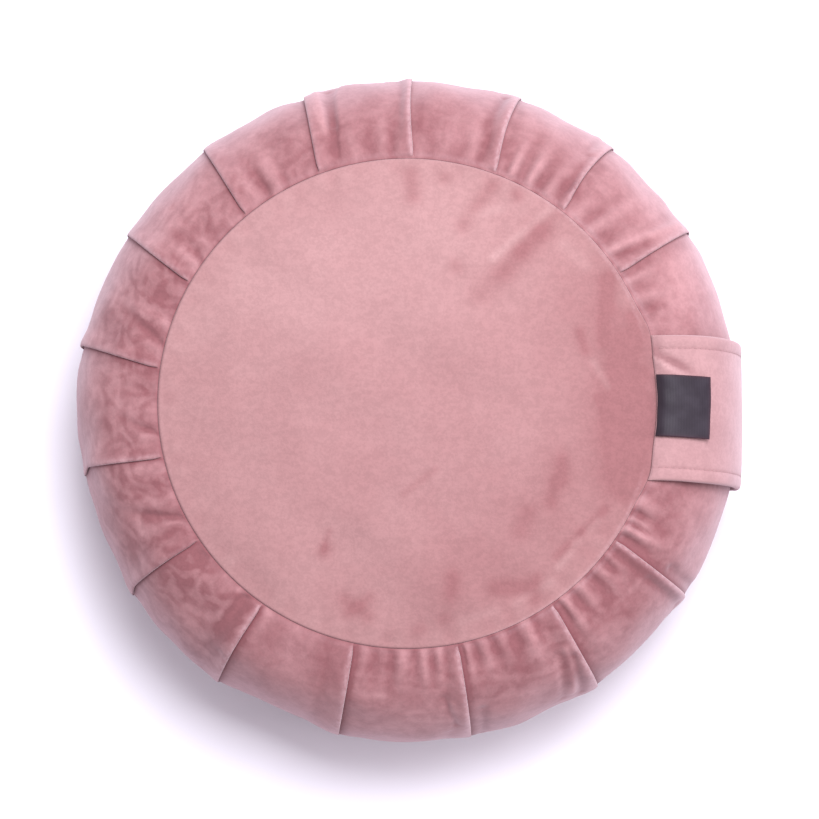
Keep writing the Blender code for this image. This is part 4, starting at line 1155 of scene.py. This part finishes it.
def place_stitches(name, centres, ways, normals):
    """Copies of one stitch, each along its way and with its top along its normal, as one mesh."""
    shape = capsule(STITCH_LONG, STITCH_RADIUS)
    rings, sides = shape.shape[:2]
    flat = shape.reshape(-1, 3)
    sideways = np.cross(ways, normals)
    points = (
        centres[:, None]
        + flat[None, :, :1] * sideways[:, None]
        + flat[None, :, 1:2] * ways[:, None]
        + flat[None, :, 2:] * normals[:, None]
    )
    one = grid_faces(rings, sides)
    count = len(flat)
    faces = (one[None] + (np.arange(len(centres)) * count)[:, None, None]).reshape(-1, 4)
    caps = []
    for number in range(len(centres)):
        start = number * count
        caps.append([start + k for k in range(sides)][::-1])
        caps.append([start + count - sides + k for k in range(sides)])
    return new_piece(name, points, [faces], caps)


def strap_point(across, along, lift):
    """Points on the strap's outer face at places across and along it, lifted off it, with their normals."""
    share = along / strap_length[-1]
    off = handle_thickness(share) + strap_relief(across, along, share) + lift
    points, out, up = on_strap(strap_y(across, share), along, off)
    size = np.hypot(out, up)
    return points, np.stack([out / size, 0 * out, up / size], axis=-1)


def make_topstitching():
    """Stitches on both lines, half a pitch from the dimples."""
    along = np.arange(FIRST_STITCH, strap_length[-1] - LAST_STITCH, STITCH_PITCH)
    centres, ways, normals = [], [], []
    for side in (-1, 1):
        across = np.full_like(along, side * (HALF_WIDTH - HEM))
        here, normal = strap_point(across, along, STITCH_LIFT)
        way = strap_point(across, along + STEP_AHEAD, STITCH_LIFT)[0] - here
        centres.append(here)
        ways.append(way / np.linalg.norm(way, axis=1)[:, None])
        normals.append(normal)
    return place_stitches("topstitching", *(np.concatenate(part) for part in (centres, ways, normals)))


topstitching = make_topstitching()

# %% [markdown]
# ## The label
#
# A small satin label is caught in the top seam with the strap, and it is bare. It is a thin sheet that
# follows the strap, curls up a little at its low corner and is slightly wavy where it is sewn.

# %% Make the label
LABEL_LOW_Y = -0.0190  # both long edges at the seam
LABEL_HIGH_Y = 0.0154
LABEL_TURN = -0.0010  # both long edges have moved by this much at the free end
LABEL_NARROWS = 0.0006  # the low edge has moved by this much more
LABEL_LENGTH = 0.0296
LABEL_LOW_LENGTH = 0.0281  # along its low edge
LABEL_THICK = 0.0009
LABEL_START = 0.0003  # from the seam
LABEL_LIFT = 0.0010  # the low corner stands up by this much
LABEL_CLEAR = 0.00035  # off the strap
LABEL_WAVY = 0.0002
LABEL_WAVES = 420  # radians in a metre across it
LABEL_START_WAVY = 0.0001
LABEL_BENDS = (160, 1.2)  # radians in a metre across it, and phase
LABEL_ROWS, LABEL_COLUMNS = 60, 64
LABEL_RIPPLE = (0.005, 0.004)  # the ripple's middle and reach from the seam
EDGE_FADE, SEAM_FADE = 0.0007, 0.0030


def make_label():
    """The label as two faces of a grid and a rim: it follows the strap, lifted to its low corner."""
    part, to_low = np.meshgrid(np.linspace(0, 1, LABEL_ROWS), np.linspace(1, 0, LABEL_COLUMNS), indexing="ij")
    straight = LABEL_HIGH_Y + (LABEL_LOW_Y - LABEL_HIGH_Y) * to_low
    across = straight + LABEL_TURN * part - LABEL_NARROWS * part * to_low
    long = LABEL_LENGTH + (LABEL_LOW_LENGTH - LABEL_LENGTH) * to_low
    start = LABEL_START + LABEL_START_WAVY * np.sin(across * LABEL_WAVES + 0.5)
    down = start + (long - start) * part
    ripple = LABEL_WAVY * np.sin(across * LABEL_WAVES + 2.0) * bell(down - LABEL_RIPPLE[0], LABEL_RIPPLE[1])
    sunk = HANDLE_SUNK * bell(down, SUNK_REACH)
    bent = LABEL_WAVY * part * np.sin(straight * LABEL_BENDS[0] + LABEL_BENDS[1]) ** 2
    lift = LABEL_LIFT * part**3 * to_low - sunk + bent + ripple + LABEL_WAVY
    off = handle_thickness(down / strap_length[-1]) + GAP + LABEL_CLEAR + lift
    sheets = [on_strap(across, down, off + thick)[0] for thick in (LABEL_THICK, 0.0)]
    rows, columns = down.shape
    shift = rows * columns
    top = grid_faces(rows, columns, around=False)
    under = grid_faces(rows, columns, around=False, first=shift)[:, ::-1]
    index = np.arange(shift).reshape(rows, columns)
    rim = np.concatenate([index[0, :-1], index[:-1, -1], index[-1, :0:-1], index[:0:-1, 0]])
    after = np.roll(rim, -1)
    walls = np.stack([rim, after, after + shift, rim + shift], axis=-1)
    inside = np.minimum(np.minimum(straight - LABEL_LOW_Y, LABEL_HIGH_Y - straight), long - down)
    inside, across, down = (np.tile(part, (2, 1)) for part in (inside, across, down))
    fields = {"edge": np.exp(-inside / EDGE_FADE), "seam": np.exp(-down / SEAM_FADE)}
    lay = np.stack([across, down, 0 * down], axis=-1)
    return new_piece("woven_label", np.concatenate(sheets), [top, under, walls], (), fields, lay)


woven_label = make_label()

# %% [markdown]
# ## Effects that several finishes share
#
# Plush is a dense pile that stands up off its backing. Where it has been stroked one way it looks light, and
# dark where it leans the other way, so patches with soft edges lie all over it. Up close it has a fine
# grain. Both are node groups that the three plush finishes share, and the label's weave is a third one.

# %% Node groups
def group_of(name, scale_name, scale, outputs):
    """A new node group that takes a vector and a scale and gives numbers: itself, both inputs and its end."""
    group = bpy.data.node_groups.new(name, "ShaderNodeTree")
    group.interface.new_socket("Vector", in_out="INPUT", socket_type="NodeSocketVector")
    scaled = group.interface.new_socket(scale_name, in_out="INPUT", socket_type="NodeSocketFloat")
    scaled.default_value = scale
    for title in outputs:
        group.interface.new_socket(title, in_out="OUTPUT", socket_type="NodeSocketFloat")
    given = group.nodes.new("NodeGroupInput").outputs
    return group, given["Vector"], given[scale_name], group.nodes.new("NodeGroupOutput")


def feed(tree, socket, value):
    """Links a socket to an input, or sets the input to a number, a vector or a colour."""
    if isinstance(value, bpy.types.NodeSocket):
        tree.links.new(value, socket)
    elif socket.type == "RGBA" and isinstance(value, tuple):
        socket.default_value = (*value, 1)
    elif value is not None:
        socket.default_value = value


def new_node(tree, kind, inputs, **settings):
    """A shader node with its settings, its inputs fed with sockets or values by name or number."""
    node = tree.nodes.new("ShaderNode" + kind)
    for name, value in settings.items():
        setattr(node, name, value)
    for title, value in inputs.items():
        feed(tree, node.inputs[title], value)
    return node


def math_node(tree, kind, first, second=None, clamp=False):
    """One operation on sockets or numbers."""
    return new_node(tree, "Math", {0: first, 1: second}, operation=kind, use_clamp=clamp).outputs[0]


def times(tree, first, second, clamp=False):
    """The product of two sockets or numbers."""
    return math_node(tree, "MULTIPLY", first, second, clamp)


def plus(tree, first, second, clamp=False):
    """The sum of two sockets or numbers."""
    return math_node(tree, "ADD", first, second, clamp)


def ramp_node(tree, value, low, high, low_to=0.0, high_to=1.0):
    """A smooth Map Range from low..high to low_to..high_to."""
    ends = {"Value": value, "From Min": low, "From Max": high, "To Min": low_to, "To Max": high_to}
    return new_node(tree, "MapRange", ends, interpolation_type="SMOOTHSTEP").outputs["Result"]


def noise_node(tree, vector, scale, detail=3.0, rough=0.5, distortion=0.0):
    """A Noise texture on a vector."""
    kind = {"Scale": scale, "Detail": detail, "Roughness": rough, "Distortion": distortion}
    return new_node(tree, "TexNoise", {"Vector": vector, **kind}).outputs["Fac"]


def make_brushed_group():
    """Where the pile was stroked: large soft patches cut up by smaller ones. Light is -0.5 to 0.5."""
    group, vector, per_metre, put = group_of("brushed pile", "Patches per Metre", 28.0, ["Light"])
    large = noise_node(group, vector, per_metre, 1.0, 0.4)
    small = noise_node(group, vector, times(group, per_metre, 3.3), 2.0, 0.5, 0.3)
    mixed = plus(group, times(group, large, 0.55), times(group, small, 0.45))
    feed(group, put.inputs["Light"], math_node(group, "SUBTRACT", ramp_node(group, mixed, 0.36, 0.64), 0.5))
    return group


def make_pile_group():
    """The grain of the pile: tufts in clumps, and combed ticks that are long one way. Each is 0 to 1."""
    outputs = ["Height", "Tone", "Ticks"]
    group, vector, per_metre, put = group_of("pile grain", "Tufts per Metre", 700.0, outputs)
    tufts = noise_node(group, vector, per_metre, 2.0, 0.6)
    third = times(group, per_metre, 0.36)
    clumps = noise_node(group, vector, third, 2.0, 0.6, 0.4)
    height = plus(group, times(group, tufts, 0.5), times(group, clumps, 0.5))
    combed = new_node(group, "Mapping", {"Scale": (0.40, 1.0, 1.0), "Vector": vector}).outputs["Vector"]
    ticks = noise_node(group, combed, times(group, third, 1.5), 1.0, 0.5)
    feed(group, put.inputs["Height"], height)
    feed(group, put.inputs["Tone"], ramp_node(group, height, 0.35, 0.65))
    feed(group, put.inputs["Ticks"], ramp_node(group, ticks, 0.40, 0.66))
    return group


def make_weave_group():
    """Satin: long floating threads side by side, each crossed at set places. Height is 0 to 1."""
    group, vector, per_metre, put = group_of("satin weave", "Threads per Metre", 3500.0, ["Height"])
    place = new_node(group, "SeparateXYZ", {"Vector": vector}).outputs
    turn = times(group, per_metre, 2 * math.pi)
    across = math_node(group, "SINE", times(group, place["X"], turn))
    slower = times(group, times(group, place["Y"], turn), 0.2)
    along = math_node(group, "SINE", plus(group, slower, times(group, across, 1.3)))
    both = plus(group, times(group, across, 0.3), times(group, along, 0.2))
    feed(group, put.inputs["Height"], plus(group, both, 0.5))
    return group


brushed_group, pile_group, weave_group = make_brushed_group(), make_pile_group(), make_weave_group()
print("node groups:", [group.name for group in (brushed_group, pile_group, weave_group)])

# %% [markdown]
# ## The finishes
#
# Plush scatters light in its pile: it has no gloss, it is pale where it is seen at a slant, and it is darker
# and redder where one looks down into it. The shader's roughness gives the first; a pale veil, which is a
# painted sheen mixed into the base colour by the slant, and the shader's sheen give the second; and the tone
# field, which holds painted light and shade, with the brushed patches gives the third. Painted shade in slits
# and seams and a painted highlight on edges are mixed in last. All numbers that are the same all over are set
# on the shader itself.

# %% Make the finishes
def colour_mix(tree, factor, first, second, kind="MIX"):
    """A Mix node of two colours."""
    inputs = {0: factor, 6: first, 7: second}
    return new_node(tree, "Mix", inputs, data_type="RGBA", blend_type=kind).outputs[2]


def field_node(tree, name, output="Fac"):
    """A field of the piece's points."""
    return new_node(tree, "Attribute", {}, attribute_name=name).outputs[output]


def cloth_coordinates(tree, kind):
    """Where the pattern lies: on the flat cloth, or simply on the piece."""
    if kind == "lay":
        return field_node(tree, "lay", "Vector")
    return new_node(tree, "TexCoord", {}).outputs["Object"]


def bump_from(tree, height, strength, distance):
    """The normal of a Bump node."""
    inputs = {"Strength": strength, "Distance": distance, "Height": height}
    return new_node(tree, "Bump", inputs).outputs["Normal"]


def new_finish(name):
    """A new material and its node tree, with a Principled shader."""
    made = bpy.data.materials.new(name)
    made.use_nodes = True
    return made, made.node_tree


def shade(tree, inputs):
    """Feeds the named inputs of a material's shader."""
    for title, value in inputs.items():
        feed(tree, tree.nodes["Principled BSDF"].inputs[title], value)


DEEP = (0.145, 0.040, 0.050)  # painted shade in slits and seams
PALE = (0.61, 0.447, 0.505)  # the painted sheen of the veil and the painted highlight on edges
SHEEN_TINT = (1.0, 0.88, 0.95)


def plush(name, kind, dark, light, patches, contrast, ticks, veil):
    """A plush finish.

    Its base runs from dark to light by the piece's tone field, which holds painted light and shade, and by
    brushed patches, is veiled with pale where it is seen at a slant (a painted sheen), is pale in broken bits
    along the edge field (a painted highlight on fold edges and the seam's lip, with fuzz), and is deep red in
    slits and seams (painted shade).
    """
    made, tree = new_finish(name)
    vector = cloth_coordinates(tree, kind)
    scaled = {"Vector": vector, "Patches per Metre": patches}
    brushed = new_node(tree, "Group", scaled, node_tree=brushed_group).outputs["Light"]
    pile = new_node(tree, "Group", {"Vector": vector}, node_tree=pile_group).outputs
    half_tone = times(tree, field_node(tree, "tone"), 0.5)
    lit_and_brushed = plus(tree, plus(tree, half_tone, times(tree, brushed, contrast)), 0.5, clamp=True)
    # The veil is a painted sheen: pale is mixed into the base where the surface is seen at a slant.
    slant = new_node(tree, "LayerWeight", {"Blend": 0.5}).outputs["Facing"]
    veil_seen = ramp_node(tree, slant, 0.16, 1.0, 0.0, veil)
    veiled = colour_mix(tree, veil_seen, colour_mix(tree, lit_and_brushed, dark, light), PALE)
    grain = ramp_node(tree, pile["Tone"], 0.0, 1.0, 0.95, 1.05)
    combed = ramp_node(tree, pile["Ticks"], 0.0, 1.0, 1.0 - ticks, 1.0 + ticks)
    grained = colour_mix(tree, 1.0, veiled, times(tree, grain, combed), "MULTIPLY")
    # A painted highlight in broken bits along the edge field: on the folds' edges and on the seam's lip.
    bits = ramp_node(tree, noise_node(tree, vector, 380.0, 3.0, 0.6), 0.34, 0.66, 0.35, 1.0)
    edge_highlight = times(tree, times(tree, field_node(tree, "edge"), bits), 0.55, clamp=True)
    # Painted shade in the slits, in the hollows beside the folds and in the seams, mixed to deep red.
    closed = times(tree, field_node(tree, "slit"), 0.64)
    sunk = math_node(tree, "MAXIMUM", closed, field_node(tree, "seam"), clamp=True)
    shade(tree, {
        "Base Color": colour_mix(tree, sunk, colour_mix(tree, edge_highlight, grained, PALE), DEEP),
        "Roughness": 0.95,
        "Specular IOR Level": 0.12,
        "Sheen Weight": 0.20,
        "Sheen Roughness": 0.5,
        "Sheen Tint": SHEEN_TINT,
        "Normal": bump_from(tree, pile["Height"], 0.30, 0.0006),
    })
    return made


SIDE_DARK, SIDE_LIGHT = (0.180, 0.067, 0.078), (0.329, 0.165, 0.182)
TOP_DARK, TOP_LIGHT = (0.220, 0.092, 0.102), (0.342, 0.194, 0.203)
STRAP_DARK, STRAP_LIGHT = (0.240, 0.120, 0.132), (0.390, 0.225, 0.240)
# Where the pattern lies, dark and light pile (the two ends of the tone field's painted shade and light and of
# the pile's tone), patches in a metre and their contrast, ticks, and how strong the veil's painted sheen is.
plush_side = plush("plush_side", "lay", SIDE_DARK, SIDE_LIGHT, 48.0, 0.26, 0.015, 0.32)
plush_top = plush("plush_top", "object", TOP_DARK, TOP_LIGHT, 34.0, 0.08, 0.015, 0.35)
plush_strap = plush("plush_strap", "lay", STRAP_DARK, STRAP_LIGHT, 30.0, 0.14, 0.012, 0.30)


def make_thread():
    """Spun thread: a fine slanted twist and fluff, in the plush's own pink."""
    made, tree = new_finish("thread")
    spun = {"Scale": 1100.0, "Distortion": 1.0, "Vector": cloth_coordinates(tree, "object")}
    twist = new_node(tree, "TexWave", spun, bands_direction="DIAGONAL").outputs["Fac"]
    shade(tree, {
        "Base Color": colour_mix(tree, twist, (0.27, 0.140, 0.153), (0.36, 0.205, 0.220)),
        "Roughness": 0.65,
        "Normal": bump_from(tree, twist, 0.4, 0.0002),
    })
    return made


def make_satin():
    """Dark satin: fine floats, a plum tinge to its edges, nearly black where it goes into the seam."""
    made, tree = new_finish("label_satin")
    vector = cloth_coordinates(tree, "lay")
    weave = new_node(tree, "Group", {"Vector": vector}, node_tree=weave_group).outputs["Height"]
    cloudy = ramp_node(tree, noise_node(tree, vector, 90.0, 2.0, 0.5), 0.35, 0.65)
    base = colour_mix(tree, cloudy, (0.021, 0.015, 0.023), (0.029, 0.022, 0.032))
    woven = colour_mix(tree, 1.0, base, ramp_node(tree, weave, 0.0, 1.0, 0.80, 1.20), "MULTIPLY")
    edged = colour_mix(tree, times(tree, field_node(tree, "edge"), 0.7), woven, (0.048, 0.016, 0.026))
    sewn = times(tree, field_node(tree, "seam"), 0.8, clamp=True)
    shade(tree, {
        "Base Color": colour_mix(tree, sewn, edged, (0.016, 0.009, 0.013)),
        "Roughness": ramp_node(tree, weave, 0.0, 1.0, 0.55, 0.42),
        "Specular IOR Level": 0.12,
        "Normal": bump_from(tree, weave, 0.25, 0.0001),
    })
    return made


thread, satin = make_thread(), make_satin()

for piece, finish in (
    (cushion_side, plush_side),
    (top_round, plush_top),
    (bottom_round, plush_top),
    (strap, plush_strap),
    (topstitching, thread),
    (woven_label, satin),
):
    piece.data.materials.append(finish)
print("finishes:", [finish.name for finish in (plush_side, plush_top, plush_strap, thread, satin)])

# %% [markdown]
# ## Tie the pieces to the frame
#
# Each fine piece stands for one of the plain solids, which are hidden, and rides on the frame's only body.

# %% Ride and replace
for piece in (cushion_side, top_round, bottom_round, strap, topstitching, woven_label):
    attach(piece, "root")
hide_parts("pleated_side")
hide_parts("top_panel")
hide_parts("bottom_panel")
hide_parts("handle")
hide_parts("label")

# %% [markdown]
# ## Floor, light and camera
#
# The cushion lies on a white table under a large soft light from the top and a weaker one from the right. The
# camera looks down from two metres, a few degrees off straight above, on a long lens.

# %% Floor, light and camera
FLOOR = 20  # half of its width
floor_mesh = bpy.data.meshes.new("floor")
corners = [(-FLOOR, -FLOOR, 0), (FLOOR, -FLOOR, 0), (FLOOR, FLOOR, 0), (-FLOOR, FLOOR, 0)]
floor_mesh.from_pydata(corners, [], [(0, 1, 2, 3)])
floor = into_scene("floor", floor_mesh)
paper, paper_tree = new_finish("white_table")
shade(paper_tree, {"Base Color": (0.715, 0.672, 0.76), "Roughness": 0.9})
floor_mesh.materials.append(paper)

world = bpy.data.worlds.new("white room")
world.use_nodes = True
world_inputs = world.node_tree.nodes["Background"].inputs
feed(world.node_tree, world_inputs["Color"], (1.0, 0.975, 1.0))
feed(world.node_tree, world_inputs["Strength"], 0.80)
bpy.context.scene.world = world


def soft_light(name, place, aim, size, watts, colour=(1.0, 1.0, 1.0)):
    """A square area light that faces a point."""
    light = bpy.data.lights.new(name, "AREA")
    light.shape = "SQUARE"
    light.size = size
    light.energy = watts
    light.color = colour
    lamp = into_scene(name, light)
    lamp.location = place
    lamp.rotation_euler = (Vector(aim) - Vector(place)).to_track_quat("-Z", "Y").to_euler()


MIDDLE = (0, 0, 0.06)
soft_light("window", (0.33, 0.82, 2.13), MIDDLE, 1.2, 80, (0.96, 1.0, 1.0))
soft_light("side_window", (1.58, 0.14, 1.65), MIDDLE, 1.4, 20)

CAMERA_UP = 85.7  # degrees above the horizon
CAMERA_FAR = 2.013  # from the aim
SENSOR = 36
AIM = np.array([0.00144, 0.0003, 0.062])
HALF_VIEW = 0.23505  # half of the picture's width at the aim, in metres
rise = math.radians(CAMERA_UP)
back = np.array([0, -math.cos(rise), math.sin(rise)])
camera_data = bpy.data.cameras.new("camera")
camera_data.sensor_width = SENSOR
camera_data.lens = SENSOR / 2 / (HALF_VIEW / CAMERA_FAR)
camera = into_scene("camera", camera_data)
camera.location = AIM + CAMERA_FAR * back
camera.rotation_mode = "QUATERNION"
camera.rotation_quaternion = Vector(-back).to_track_quat("-Z", "Y")
bpy.context.scene.camera = camera
bpy.context.scene.view_settings.view_transform = "Standard"
print("camera at", [round(v, 3) for v in camera.location])
